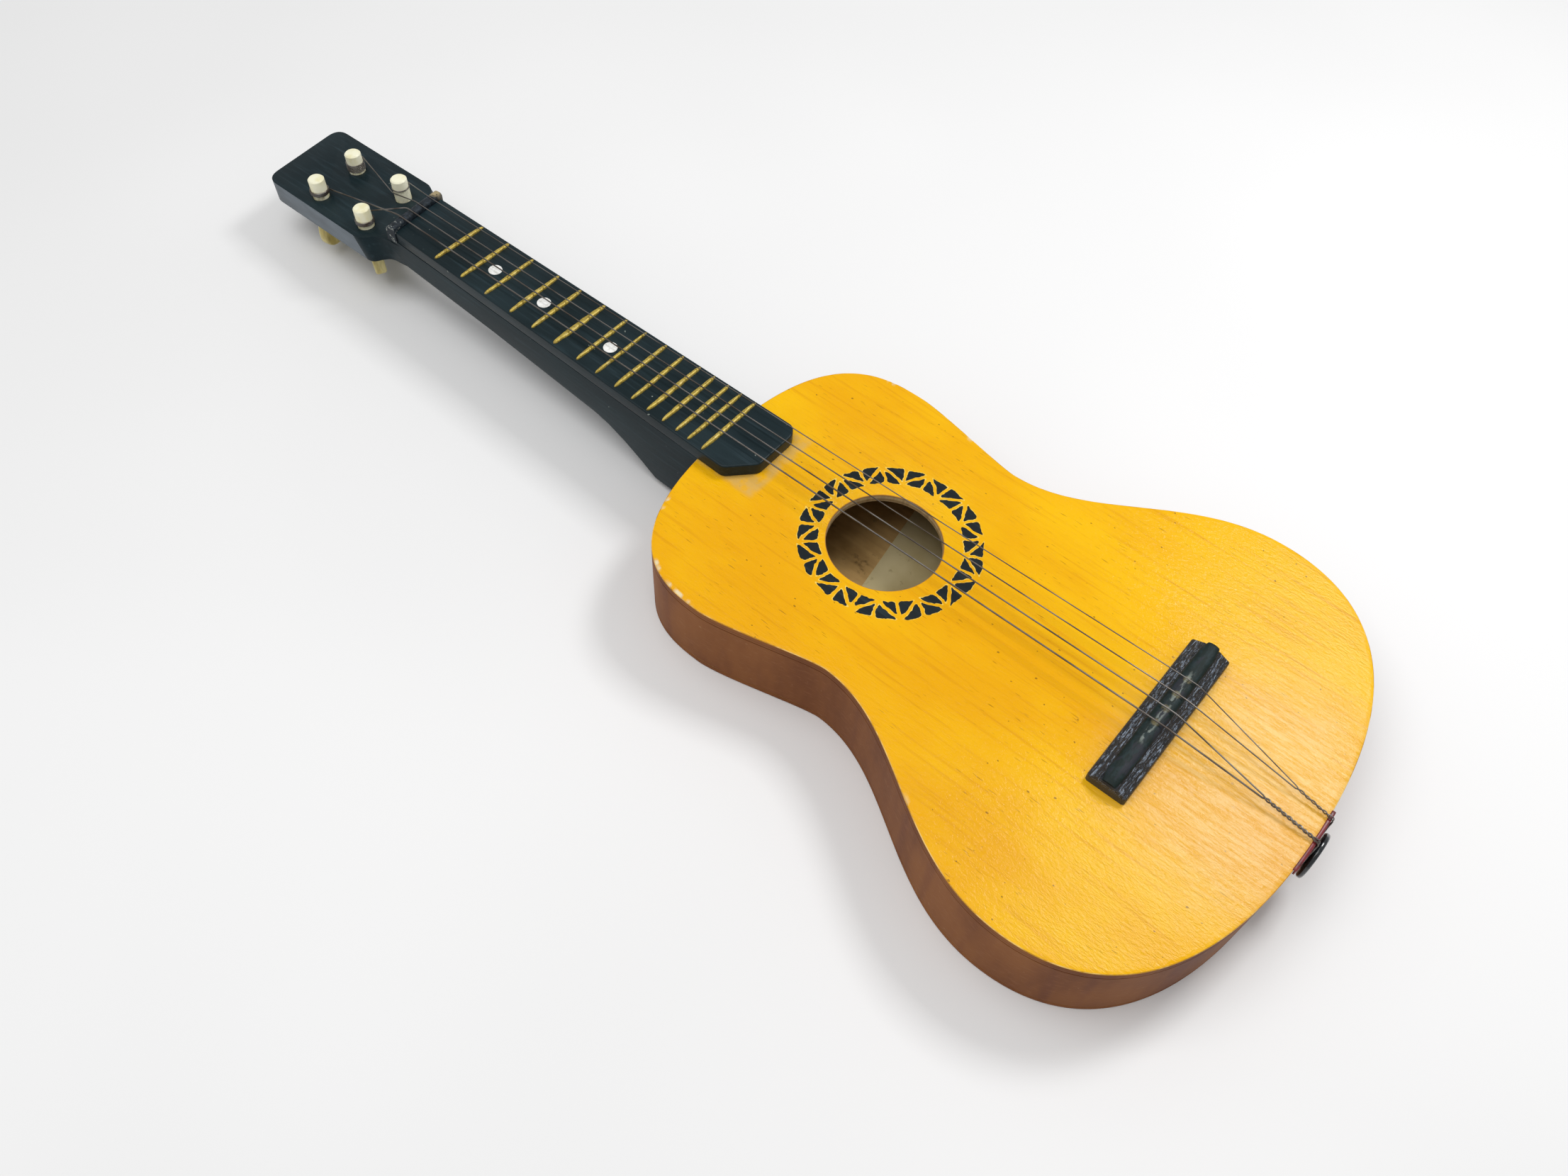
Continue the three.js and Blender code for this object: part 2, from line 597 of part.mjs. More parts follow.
function fretboard() {
  const board = slab(fretboardOutline(), TOP_FACE, FRETBOARD_TOP);
  const slots = FRETS.map((_, i) => {
    const y = fretY(i + 1);
    const [left, right] = fretSpan(y);
    const inset = FRET_CROWN.tangInset - FIT;
    const slotHalf = FRET_TANG.width / 2 + FIT;
    const floor = FRETBOARD_TOP - FRET_TANG.depth - FIT;
    return block(left + inset, right - inset, y - slotHalf, y + slotHalf, floor, FRETBOARD_TOP + 1);
  });
  const recesses = DOT_AFTER_FRET.map((number) => {
    const floor = FRETBOARD_TOP - DOT.depth;
    return barAlongZ(DOT.radius + FIT, DOT.x, dotY(number), floor, FRETBOARD_TOP + 1);
  });
  addPiece("fretboard", cut(board, ...slots, ...recesses), "black_paint");
  FRETS.forEach((_, i) => fret(i + 1));
  DOT_AFTER_FRET.forEach((number, i) => {
    const floor = FRETBOARD_TOP - DOT.depth;
    const dot = barAlongZ(DOT.radius, DOT.x, dotY(number), floor, FRETBOARD_TOP + DOT.proud);
    addPiece(`position_dot_${i + 1}`, dot, "white_dot");
  });
}

function nut() {
  const round = NUT_LENGTH * 0.3;
  const half = NUT_LENGTH / 2;
  const height = NUT_TOP - TOP_FACE;
  const section = new THREE.Shape();
  section.moveTo(-half, 0);
  section.lineTo(half, 0);
  section.lineTo(half, height - 2 * round);
  section.quadraticCurveTo(half, height, round - half, height);
  section.quadraticCurveTo(-half, height, -half, height - round);
  const bar = barAlongX(section, -BASS_EDGE.atNut - NUT_OVERHANG, TREBLE_EDGE.atNut + NUT_OVERHANG);
  bar.rotateZ(NUT_TURN).translate(0, NUT_Y + half, TOP_FACE);
  const slots = STRINGS_AT_NUT_X.map((x) => {
    const slotHalf = NUT_SLOT.width / 2;
    const floor = NUT_TOP - NUT_SLOT.depth;
    const ends = [NUT_Y - NUT_LENGTH, NUT_BACK_Y + NUT_LENGTH];
    return block(x - slotHalf, x + slotHalf, ...ends, floor, NUT_TOP + 1);
  });
  addPiece("nut", cut(bar, ...slots), "black_paint");
}

// Pegs. Each has its own group, with the peg's axis along Z and the head's face at 0.

function pegShape(peg) {
  const bottom = -HEAD_THICKNESS - PEG_COLLAR.gap - PEG_COLLAR.height;
  const rim = 0.7;
  const profile = [
    [0, bottom],
    [PEG_COLLAR.radius - 0.8, bottom],
    [PEG_COLLAR.radius, bottom + 0.8],
    [PEG_COLLAR.radius, bottom + PEG_COLLAR.height],
    [PEG_RADIUS, bottom + PEG_COLLAR.height],
    [PEG_RADIUS, peg.height - rim],
    [PEG_RADIUS - rim, peg.height],
    [0, peg.height],
  ];
  const shank = new THREE.LatheGeometry(profile.map(([r, z]) => new THREE.Vector2(r, z)), 24);
  shank.rotateX(Math.PI / 2);
  const bevel = 1.2;
  const half = PEG_GRIP.width / 2 - bevel;
  const low = bottom - PEG_GRIP.length + bevel;
  const outline = new THREE.Shape();
  outline.moveTo(-3, bottom + bevel);
  outline.quadraticCurveTo(-half, bottom - 1, -half, bottom - PEG_GRIP.length * 0.55);
  outline.quadraticCurveTo(-half, low, 0, low);
  outline.quadraticCurveTo(half, low, half, bottom - PEG_GRIP.length * 0.55);
  outline.quadraticCurveTo(half, bottom - 1, 3, bottom + bevel);
  const grip = new THREE.ExtrudeGeometry(outline, {
    depth: PEG_GRIP.thickness - 2 * bevel,
    bevelThickness: bevel,
    bevelSize: bevel,
    bevelSegments: 2,
    curveSegments: 5,
  });
  grip.translate(0, 0, bevel - PEG_GRIP.thickness / 2).rotateX(Math.PI / 2);
  return join(shank, grip).rotateZ(peg.turn);
}

// The turns of string round a peg, side by side, as one ring.
function windingShape(diameter) {
  const wire = diameter / 2;
  const inner = PEG_RADIUS + WINDING_FIT;
  const height = WINDING_TURNS * diameter;
  const profile = [[inner, 0]];
  for (let turn = 0; turn < WINDING_TURNS; turn++) {
    for (const [out, up] of [[1.2, 0.3], [2, 1], [1.2, 1.7]]) {
      profile.push([inner + out * wire, (turn * 2 + up) * wire]);
    }
  }
  profile.push([inner, height], [inner, 0]);
  const ring = new THREE.LatheGeometry(profile.map(([r, z]) => new THREE.Vector2(r, z)), 20);
  return ring.rotateX(Math.PI / 2);
}

function pegs() {
  PEGS.forEach((peg, i) => {
    const group = new THREE.Group();
    group.position.set(peg.x, peg.back, 0);
    headGroup.add(group);
    addPiece(`peg_${i + 1}`, pegShape(peg), "ivory_peg", group);
    const low = peg.wound - (WINDING_TURNS * STRING_DIAMETERS[i]) / 2;
    const winding = windingShape(STRING_DIAMETERS[i]).translate(0, 0, low);
    addPiece(`string_winding_${i + 1}`, winding, "steel_string", group);
  });
}

// Strings

// A run of wire through chosen points, with a section of the wire at each of them.
class WireRun extends THREE.Curve {
  constructor(points) {
    super();
    this.points = points;
  }

  getPoint(t, target = new THREE.Vector3()) {
    const place = t * (this.points.length - 1);
    const i = Math.min(Math.floor(place), this.points.length - 2);
    return target.lerpVectors(this.points[i], this.points[i + 1], place - i);
  }

  getPointAt(t, target) {
    return this.getPoint(t, target);
  }

  getTangentAt(t, target = new THREE.Vector3()) {
    const last = this.points.length - 1;
    const i = Math.round(t * last);
    const before = this.points[Math.max(i - 1, 0)];
    const here = this.points[i];
    const after = this.points[Math.min(i + 1, last)];
    const arriving = here.clone().sub(before).normalize();
    const leaving = after.clone().sub(here).normalize();
    return target.copy(arriving).add(leaving).normalize();
  }
}

function wire(points, diameter) {
  const section = new THREE.Shape();
  for (let i = 0; i < STRING_SIDES; i++) {
    const angle = (i / STRING_SIDES) * 2 * Math.PI;
    const corner = [Math.cos(angle), Math.sin(angle)].map((v) => (v * diameter) / 2);
    if (i === 0) {
      section.moveTo(...corner);
    } else {
      section.lineTo(...corner);
    }
  }
  section.closePath();
  return new THREE.ExtrudeGeometry(section, {
    steps: points.length - 1,
    extrudePath: new WireRun(points),
    bevelEnabled: false,
  });
}

// Where a string leaves its winding: on the treble side, on a line that touches the winding.
function pegEnd(i, towards) {
  const peg = PEGS[i];
  const axis = new THREE.Vector3(peg.x, peg.back, peg.wound).applyMatrix4(headGroup.matrix);
  const radius = PEG_RADIUS + WINDING_FIT + STRING_DIAMETERS[i] / 2;
  const clear = PEG_RADIUS + WINDING_FIT + 1.5 * STRING_DIAMETERS[i] + SEAM;
  const away = Math.sqrt(clear * clear - radius * radius);
  const line = new THREE.Vector2(towards.x - axis.x, towards.y - axis.y);
  const turn = Math.acos(radius / line.length());
  const out = line.normalize().rotateAround(new THREE.Vector2(), turn);
  const along = new THREE.Vector2(out.y, -out.x);
  return new THREE.Vector3(
    axis.x + out.x * radius + along.x * away,
    axis.y + out.y * radius + along.y * away,
    axis.z,
  );
}

// Where the string that is led round another string's peg bends.
function bendPoint() {
  const peg = PEGS[LED_ROUND.peg];
  const clear = PEG_RADIUS + STRING_DIAMETERS[LED_ROUND.string] / 2 + STRING_GAP;
  return new THREE.Vector3(peg.x - clear, peg.back + 1, LED_ROUND.above).applyMatrix4(headGroup.matrix);
}

function string(i) {
  const lift = STRING_DIAMETERS[i] / 2 + STRING_GAP;
  const nutX = STRINGS_AT_NUT_X[i];
  const slotFloor = NUT_TOP - NUT_SLOT.depth + lift;
  const nutFront = new THREE.Vector3(nutX, turnedY(nutX, NUT_Y), slotFloor);
  const nutBack = new THREE.Vector3(nutX, turnedY(nutX, NUT_BACK_Y) + SEAM, slotFloor);
  const bends = i === LED_ROUND.string ? [bendPoint()] : [];
  const saddleY = BRIDGE.y - SADDLE.width / 2 - BRIDGE_TRAVEL;
  const overSaddle = new THREE.Vector3(STRINGS_AT_SADDLE_X[i], saddleY, SADDLE_TOP + lift);
  // Beside its neighbour over the edge of the tail saddle, down behind the end button and along its shank.
  const pair = PAIRS[Math.floor(i / 2)];
  const side = (i % 2 === 0 ? 0.5 : -0.5) * PAIR_SPACING;
  const x = pair.tailX + side;
  const edgeY = TAIL_Y - SEAM - TAIL_SADDLE.wall;
  const edgeZ = TOP_FACE + TAIL_SADDLE.wall;
  const outerOfPair = (i % 2 === 0) === (pair.tailX > BUTTON.x);
  const fromShank = BUTTON_SHANK.radius + lift + 0.1 + (outerOfPair ? 1 : 0);
  const shankX = BUTTON.x + Math.sign(x - BUTTON.x) * fromShank;
  const behindButton = edgeY - lift;
  const lipY = TAIL_Y + TAIL_SADDLE.lip;
  const lipZ = edgeZ + lift + SEAM;
  const meetShare = (saddleY - pair.meet.y) / (saddleY - lipY);
  const meetZ = THREE.MathUtils.lerp(overSaddle.z, lipZ, meetShare);
  const points = [
    pegEnd(i, bends[0] ?? nutBack),
    ...bends,
    nutBack,
    nutFront,
    overSaddle,
    new THREE.Vector3(pair.meet.x + side, pair.meet.y, meetZ),
    new THREE.Vector3(x, lipY, lipZ),
    new THREE.Vector3(x, edgeY, edgeZ + lift),
    new THREE.Vector3(x, edgeY - lift * 0.75, edgeZ + lift * 0.75),
    new THREE.Vector3(x, behindButton, edgeZ),
    new THREE.Vector3(x, behindButton, TOP_FACE - TAIL_SADDLE.drop),
    new THREE.Vector3(shankX, behindButton, BUTTON.z + BUTTON_SHANK.radius * 0.6),
    new THREE.Vector3(shankX, behindButton, BUTTON.z - BUTTON_SHANK.radius * 0.4),
  ];
  addPiece(`string_${i + 1}`, wire(points, STRING_DIAMETERS[i]), "steel_string");
}

// Bridge

function bridge() {
  const half = BRIDGE.width / 2;
  const ridge = BRIDGE.ridge / 2;
  const groove = SADDLE.width / 2 + FIT;
  const floor = BRIDGE.height - SADDLE.seat;
  const section = [
    [-half, 0],
    [half, 0],
    [half, BRIDGE.edge],
    [ridge, BRIDGE.height],
    [groove, BRIDGE.height],
    [groove, floor],
    [-groove, floor],
    [-groove, BRIDGE.height],
    [-ridge, BRIDGE.height],
    [-half, BRIDGE.edge],
  ];
  const end = BRIDGE.length / 2;
  const bar = barAlongX(new THREE.Shape(section.map(([y, z]) => new THREE.Vector2(y, z))), -end, end);
  const plan = [
    [end, BRIDGE_CORNER - half],
    [end, half - BRIDGE_CORNER],
    [end - BRIDGE_CORNER, half],
    [BRIDGE_CORNER - end, half],
    [-end, half - BRIDGE_CORNER],
    [-end, BRIDGE_CORNER - half],
    [BRIDGE_CORNER - end, -half],
    [end - BRIDGE_CORNER, -half],
  ];
  const within = slab(plan.map(([x, y]) => new THREE.Vector2(x, y)), -1, BRIDGE.height + 1);
  addPiece("bridge", common(bar, within), "black_paint").position.set(BRIDGE.x, BRIDGE.y, TOP_FACE);
}

// The saddle: a strip with a rounded top and a round treble end.
function saddle() {
  const half = SADDLE.width / 2;
  const right = BRIDGE.length / 2 + SADDLE.overhang;
  const left = right - SADDLE.length;
  const top = SADDLE.seat + SADDLE.above;
  const plan = new THREE.Shape();
  plan.moveTo(left, -half);
  plan.lineTo(right - half, -half);
  plan.absarc(right - half, 0, half, -Math.PI / 2, Math.PI / 2);
  plan.lineTo(left, half);
  const section = new THREE.Shape();
  section.moveTo(-half, -1);
  section.lineTo(half, -1);
  section.lineTo(half, top - half * 0.8);
  section.quadraticCurveTo(half * 0.9, top, 0, top);
  section.quadraticCurveTo(-half * 0.9, top, -half, top - half * 0.8);
  const strip = common(slab(plan.getPoints(6), 0, top), barAlongX(section, left - 1, right + 1));
  const floor = TOP_FACE + BRIDGE.height - SADDLE.seat;
  addPiece("saddle", strip, "black_paint").position.set(BRIDGE.x, BRIDGE.y, floor);
}

// Tail

// The part of a band along the tail's edge, from one distance outside the body to another, that the
// strings bear on.
function tailBand(inner, outer, low, high) {
  const band = slab(bodyOutline(-outer), low, high);
  const hollow = slab(bodyOutline(-inner), low - 1, high + 1);
  const window = block(TAIL_SADDLE.to, TAIL_SADDLE.from, TAIL_Y - 10, TAIL_Y + 10, low - 1, high + 1);
  return common(cut(band, hollow), window);
}

function tailSaddle() {
  const outside = SEAM + TAIL_SADDLE.wall;
  const apron = tailBand(SEAM, outside, TOP_FACE - TAIL_SADDLE.drop, TOP_FACE + TAIL_SADDLE.wall);
  const lip = tailBand(-TAIL_SADDLE.lip, outside, TOP_FACE, TOP_FACE + TAIL_SADDLE.wall);
  addPiece("tail_saddle", join(apron, lip), "red_strip");
}

// A profile of [radius, distance from the outer face], turned round the end button's axis.
function turnedOnButton(profile) {
  const points = profile.map(([r, y]) => new THREE.Vector2(r, BUTTON_FACE_Y + y));
  return new THREE.LatheGeometry(points, 24).translate(BUTTON.x, 0, BUTTON.z);
}

function endButton() {
  const pocket = BUTTON_SCREW.head + FIT;
  const pocketDepth = BUTTON_SCREW.sunk + BUTTON_SCREW.headHeight;
  const total = BUTTON.thickness + BUTTON_SHANK.length;
  const body = turnedOnButton([
    [0, 0],
    [BUTTON.radius - BUTTON.round, 0],
    [BUTTON.radius - BUTTON.round * 0.3, BUTTON.round * 0.3],
    [BUTTON.radius, BUTTON.round],
    [BUTTON.radius, BUTTON.thickness - BUTTON.round],
    [BUTTON.radius - BUTTON.round, BUTTON.thickness],
    [BUTTON_SHANK.radius, BUTTON.thickness],
    [BUTTON_SHANK.radius, total],
    [0, total],
  ]);
  const bore = BUTTON_SCREW.radius + SEAM;
  const hole = turnedOnButton([
    [0, -1],
    [pocket, -1],
    [pocket, pocketDepth],
    [bore, pocketDepth],
    [bore, total + 1],
    [0, total + 1],
  ]);
  addPiece("end_button", cut(body, hole), "black_button");
  const screw = turnedOnButton([
    [0, BUTTON_SCREW.sunk],
    [BUTTON_SCREW.head * 0.75, BUTTON_SCREW.sunk],
    [BUTTON_SCREW.head, BUTTON_SCREW.sunk + BUTTON_SCREW.headHeight / 2],
    [BUTTON_SCREW.head, pocketDepth],
    [BUTTON_SCREW.radius, pocketDepth],
    [BUTTON_SCREW.radius, BUTTON_SCREW.length - 3],
    [0, BUTTON_SCREW.length],
  ]);
  addPiece("end_button_screw", screw, "steel_screw");
}

// The screw that draws the heel against the body, through the neck block.
function neckScrew() {
  const start = SHOULDER_Y - NECK_BLOCK.length - INSIDE_RIB;
  const profile = [
    [0, -NECK_SCREW.headHeight],
    [NECK_SCREW.head * 0.7, -NECK_SCREW.headHeight],
    [NECK_SCREW.head, -NECK_SCREW.headHeight * 0.4],
    [NECK_SCREW.head, 0],
    [NECK_SCREW.radius, 0],
    [NECK_SCREW.radius, NECK_SCREW.length - 4],
    [0, NECK_SCREW.length],
  ];
  const points = profile.map(([r, y]) => new THREE.Vector2(r, start + y));
  addPiece("neck_screw", new THREE.LatheGeometry(points, 20).translate(0, 0, NECK_SCREW.z), "steel_screw");
}

backPanel();
rib("rib_bass", BASS_SIDE);
rib("rib_treble", TREBLE_SIDE);
insideOfBody();
soundboard();
neck();
neckScrew();
fretboard();
nut();
pegs();
STRING_DIAMETERS.forEach((_, i) => string(i));
bridge();
saddle();
tailSaddle();
endButton();

export default guitar;
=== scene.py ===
import math

import bmesh
import bpy
from mathutils import Matrix, Vector, noise


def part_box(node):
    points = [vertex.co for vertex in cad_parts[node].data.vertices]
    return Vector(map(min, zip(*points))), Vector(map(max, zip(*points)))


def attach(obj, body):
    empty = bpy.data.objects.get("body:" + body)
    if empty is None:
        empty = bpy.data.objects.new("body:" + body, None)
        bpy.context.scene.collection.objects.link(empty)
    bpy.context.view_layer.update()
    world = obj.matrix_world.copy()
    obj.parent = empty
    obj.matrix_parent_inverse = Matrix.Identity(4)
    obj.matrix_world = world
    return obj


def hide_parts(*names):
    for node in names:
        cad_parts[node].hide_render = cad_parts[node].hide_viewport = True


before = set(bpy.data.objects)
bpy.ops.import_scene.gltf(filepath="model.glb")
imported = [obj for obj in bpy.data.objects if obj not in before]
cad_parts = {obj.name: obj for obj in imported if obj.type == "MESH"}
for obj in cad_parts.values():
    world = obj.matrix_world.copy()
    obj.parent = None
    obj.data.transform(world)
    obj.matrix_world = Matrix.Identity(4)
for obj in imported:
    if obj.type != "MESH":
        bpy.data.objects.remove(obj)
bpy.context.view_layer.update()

# A small four-string guitar. +Y points to the head, +X to the treble side, +Z out of the soundboard.
MM = 0.001

# Levels and places taken from the frame
BODY_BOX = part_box("soundboard")
TOP_FACE = BODY_BOX[1][2]
TOP_LOW = BODY_BOX[0][2]
TAIL_Y = BODY_BOX[0][1]
SHOULDER_Y = BODY_BOX[1][1]
PLY_LINE = TOP_FACE - 2.7 * MM
BACK_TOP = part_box("back_panel")[1][2]
NUT_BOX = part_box("nut")
BOARD_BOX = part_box("fretboard")
BRIDGE_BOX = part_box("bridge")

# Body outline: the same curves as the plates of the frame
BASS_SIDE = {"sign": -1, "upper": 83 * MM, "waist": 69.5 * MM, "lower": 115 * MM}
TREBLE_SIDE = {"sign": 1, "upper": 78 * MM, "waist": 68.5 * MM, "lower": 116.5 * MM}
UPPER_BOUT_Y = 38.5 * MM
WAIST_Y = -21.5 * MM
LOWER_BOUT_Y = -137 * MM
OUTLINE_STEPS = 80
RIB_THICKNESS = 2.5 * MM
HOLE_X = -1.5 * MM
HOLE_RADIUS = 26 * MM

# Stencilled ring round the soundhole
RING_CENTRE = Vector((0.97 * MM, -1.67 * MM, 0))
RING_INNER = 32.4 * MM
RING_OUTER = 41.3 * MM
RING_PAIRS = 12
RING_TURN = math.radians(-137.6)
RING_BAR = 1.55 * MM
PAINT_THICKNESS = 0.08 * MM
# Unevenness of the stencil's edges: a broad waver and a fine one, as scale and share
WANDER = ((130, 1.0), (700, 0.45))
RAGGEDNESS = 2.6 * MM
CUT_WIDTH = 0.28 * MM

# The most chipped stretch of rim: place across on the bass side, place along, and reach
CHIPPED = (80 * MM, 52 * MM, 45 * MM)


# Small helpers for meshes


def add_object(name, mesh):
    piece = bpy.data.objects.new(name, mesh)
    bpy.context.scene.collection.objects.link(piece)
    return piece


def mesh_from(bm, name, smooth_angle=35):
    """Turns a bmesh into a mesh with its faces pointing out and its creases kept sharp."""
    bmesh.ops.remove_doubles(bm, verts=bm.verts, dist=1e-7)
    bmesh.ops.recalc_face_normals(bm, faces=bm.faces)
    mesh = bpy.data.meshes.new(name)
    bm.to_mesh(mesh)
    bm.free()
    mesh.shade_smooth()
    mesh.set_sharp_from_angle(angle=math.radians(smooth_angle))
    return mesh


def finished(piece, body, slot, material, *replaced):
    """Gives a piece its materials and its body, and hides the frame's nodes that it stands for. The
    slot is not used.
    """
    kept = [face.material_index for face in piece.data.polygons]
    piece.data.materials.clear()
    for one in material if isinstance(material, (list, tuple)) else [material]:
        piece.data.materials.append(one)
    piece.data.polygons.foreach_set("material_index", kept)
    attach(piece, body)
    if replaced:
        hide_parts(*replaced)
    return piece


def baked(piece):
    """The piece with its modifiers made part of its mesh."""
    depsgraph = bpy.context.evaluated_depsgraph_get()
    mesh = bpy.data.meshes.new_from_object(piece.evaluated_get(depsgraph))
    piece.modifiers.clear()
    piece.data = mesh
    return piece


def round_edges(piece, width, segments, angle, smooth_angle, miter):
    """Rounds the edges that are sharper than an angle, for good, and shades the piece smooth."""
    rounding = piece.modifiers.new("rounding", "BEVEL")
    rounding.width = width
    rounding.segments = segments
    rounding.limit_method = "ANGLE"
    rounding.angle_limit = math.radians(angle)
    rounding.miter_outer = miter
    baked(piece)
    piece.data.shade_smooth()
    piece.data.set_sharp_from_angle(angle=math.radians(smooth_angle))
    return piece


def softened(node, name, bevel, segments=2, angle=30, smooth_angle=40):
    """A copy of one of the frame's solids with its sharp edges rounded."""
    bm = bmesh.new()
    bm.from_mesh(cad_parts[node].data)
    bmesh.ops.remove_doubles(bm, verts=bm.verts, dist=2e-6)
    flat = math.radians(0.5)
    bmesh.ops.dissolve_limit(bm, angle_limit=flat, verts=bm.verts, edges=bm.edges)
    piece = add_object(name, mesh_from(bm, name, smooth_angle))
    return round_edges(piece, bevel, segments, angle, smooth_angle, "MITER_ARC")


def slab(bm, points, low, thickness):
    """A flat outline raised to a thickness."""
    face = bm.faces.new([bm.verts.new((p.x, p.y, low)) for p in points])
    made = bmesh.ops.extrude_face_region(bm, geom=[face])
    moved = [g for g in made["geom"] if isinstance(g, bmesh.types.BMVert)]
    bmesh.ops.translate(bm, verts=moved, vec=(0, 0, thickness))


def skin_ring(bm, one, other, index=0):
    for i in range(len(one)):
        j = (i + 1) % len(one)
        face = bm.faces.new((one[i], one[j], other[j], other[i]))
        face.material_index = index


def skin(bm, rings):
    """Joins a row of rings of vertices into a solid, capped at both ends."""
    for one, other in zip(rings, rings[1:]):
        skin_ring(bm, one, other)
    bm.faces.new(list(reversed(rings[0])))
    bm.faces.new(rings[-1])


def sweep(name, rings, smooth_angle=35):
    """A solid through a row of rings of points that have the same count."""
    bm = bmesh.new()
    skin(bm, [[bm.verts.new(p) for p in ring] for ring in rings])
    return add_object(name, mesh_from(bm, name, smooth_angle))


def bend(before, here, after, size, limit, steps):
    """Points round a corner, kept within a share of the edges on both sides of it."""
    start, end = (
        here + (p - here).normalized() * min(size, (p - here).length * limit) for p in (before, after)
    )
    shares = [k / steps for k in range(steps + 1)]
    return [(1 - t) ** 2 * start + 2 * t * (1 - t) * here + t * t * end for t in shares]


def tube(name, points, radius, sides=12):
    """A round wire through a row of points."""
    rings = []
    normal = None
    for i, here in enumerate(points):
        before = points[max(i - 1, 0)]
        after = points[min(i + 1, len(points) - 1)]
        along = (after - before).normalized()
        if normal is None:
            normal = along.orthogonal().normalized()
        normal = (normal - along * normal.dot(along)).normalized()
        across = along.cross(normal)
        ring = []
        for k in range(sides):
            turn = 2 * math.pi * k / sides
            ring.append(here + radius * (math.cos(turn) * normal + math.sin(turn) * across))
        rings.append(ring)
    return sweep(name, rings)


# Small helpers for materials


class Nodes:
    """Short calls that add nodes to a tree."""

    def put(self, socket, value):
        if isinstance(value, bpy.types.NodeSocket):
            self.tree.links.new(value, socket)
        else:
            socket.default_value = value

    def add(self, kind, values=None, result=0, **settings):
        """One output of a new node that has these settings and input values."""
        node = self.tree.nodes.new(kind)
        for key, value in settings.items():
            setattr(node, key, value)
        for key, value in (values or {}).items():
            self.put(node.inputs[key], value)
        return node.outputs[result]


class Finish(Nodes):
    """A material with one Principled shader, and short calls for the nodes that feed it."""

    def __init__(self, name, roughness=0.5, metallic=0.0, specular=0.5, coat=0.0, coat_roughness=0.1):
        self.material = bpy.data.materials.new(name)
        self.material.use_nodes = True
        self.tree = self.material.node_tree
        self.tree.nodes.clear()
        output = self.tree.nodes.new("ShaderNodeOutputMaterial")
        self.shader = self.tree.nodes.new("ShaderNodeBsdfPrincipled")
        self.put(output.inputs[0], self.shader.outputs[0])
        labels = ("Roughness", "Metallic", "Specular IOR Level", "Coat Weight", "Coat Roughness")
        for label, value in zip(labels, (roughness, metallic, specular, coat, coat_roughness)):
            self.shader.inputs[label].default_value = value
        self.object = self.add("ShaderNodeTexCoord", result="Object")

    def noise(self, scale, detail=3, roughness=0.5, distortion=0):
        """Noise in object coordinates, scaled evenly or along each axis."""
        scales = scale if isinstance(scale, tuple) else (scale,) * 3
        place = self.add("ShaderNodeMapping", {"Vector": self.object, "Scale": scales})
        values = {"Vector": place, "Scale": 1, "Detail": detail}
        values |= {"Roughness": roughness, "Distortion": distortion}
        return self.add("ShaderNodeTexNoise", values, "Fac")

    def place(self, axis):
        return self.add("ShaderNodeSeparateXYZ", {0: self.object}, axis)

    def attribute(self, name):
        return self.add("ShaderNodeAttribute", result="Fac", attribute_name=name)

    def maths(self, operation, *numbers):
        return self.add("ShaderNodeMath", dict(enumerate(numbers)), operation=operation)

    def fade(self, value, low, high):
        """0 at low, 1 at high, smooth between."""
        values = {"Value": value, "From Min": low, "From Max": high}
        return self.add("ShaderNodeMapRange", values, interpolation_type="SMOOTHSTEP")

    def blend(self, share, *colours):
        values = {"Factor": share}
        for label, value in zip("AB", colours):
            values[label] = colour(value) if isinstance(value, str) else value
        return self.add("ShaderNodeMix", values, "Result", data_type="RGBA")

    def near(self, x, y, radius, soft):
        """1 close to a place on the soundboard, 0 further than the radius from it."""
        flat = self.add("ShaderNodeCombineXYZ", {0: self.place("X"), 1: self.place("Y")})
        values = {0: flat, 1: (x, y, 0)}
        spread = self.add("ShaderNodeVectorMath", values, "Value", operation="DISTANCE")
        return self.fade(spread, radius + soft, radius)

    def off(self, axis, level):
        """Distance from a level along an axis."""
        return self.maths("ABSOLUTE", self.maths("SUBTRACT", self.place(axis), level))

    def paint(self, value):
        self.base = value
        self.put(self.shader.inputs["Base Color"], value)

    def ground(self, pattern, low, high, *colours):
        """The colour underneath: one that gives way to another as a pattern rises."""
        self.paint(self.blend(self.fade(pattern, low, high), *colours))

    def cover(self, code, *shares):
        """Covers the colour so far with another, as far as the product of the shares."""
        share = shares[0]
        for other in shares[1:]:
            share = self.maths("MULTIPLY", share, other)
        self.paint(self.blend(share, self.base, code))

    def gloss(self, value):
        self.put(self.shader.inputs["Roughness"], value)

    def bump(self, height, distance, strength=1.0):
        """Relief, on top of any that there is already."""
        normal = self.shader.inputs["Normal"]
        values = {"Strength": strength, "Distance": distance, "Height": height}
        if normal.is_linked:
            values["Normal"] = normal.links[0].from_socket
        self.put(normal, self.add("ShaderNodeBump", values))


def colour(code):
    """A colour from its usual hexadecimal code, as the linear values that a shader takes."""
    channels = [int(code[i:i + 2], 16) / 255 for i in (0, 2, 4)]
    linear = [c / 12.92 if c <= 0.04045 else ((c + 0.055) / 1.055) ** 2.4 for c in channels]
    return (*linear, 1.0)


# Finishes


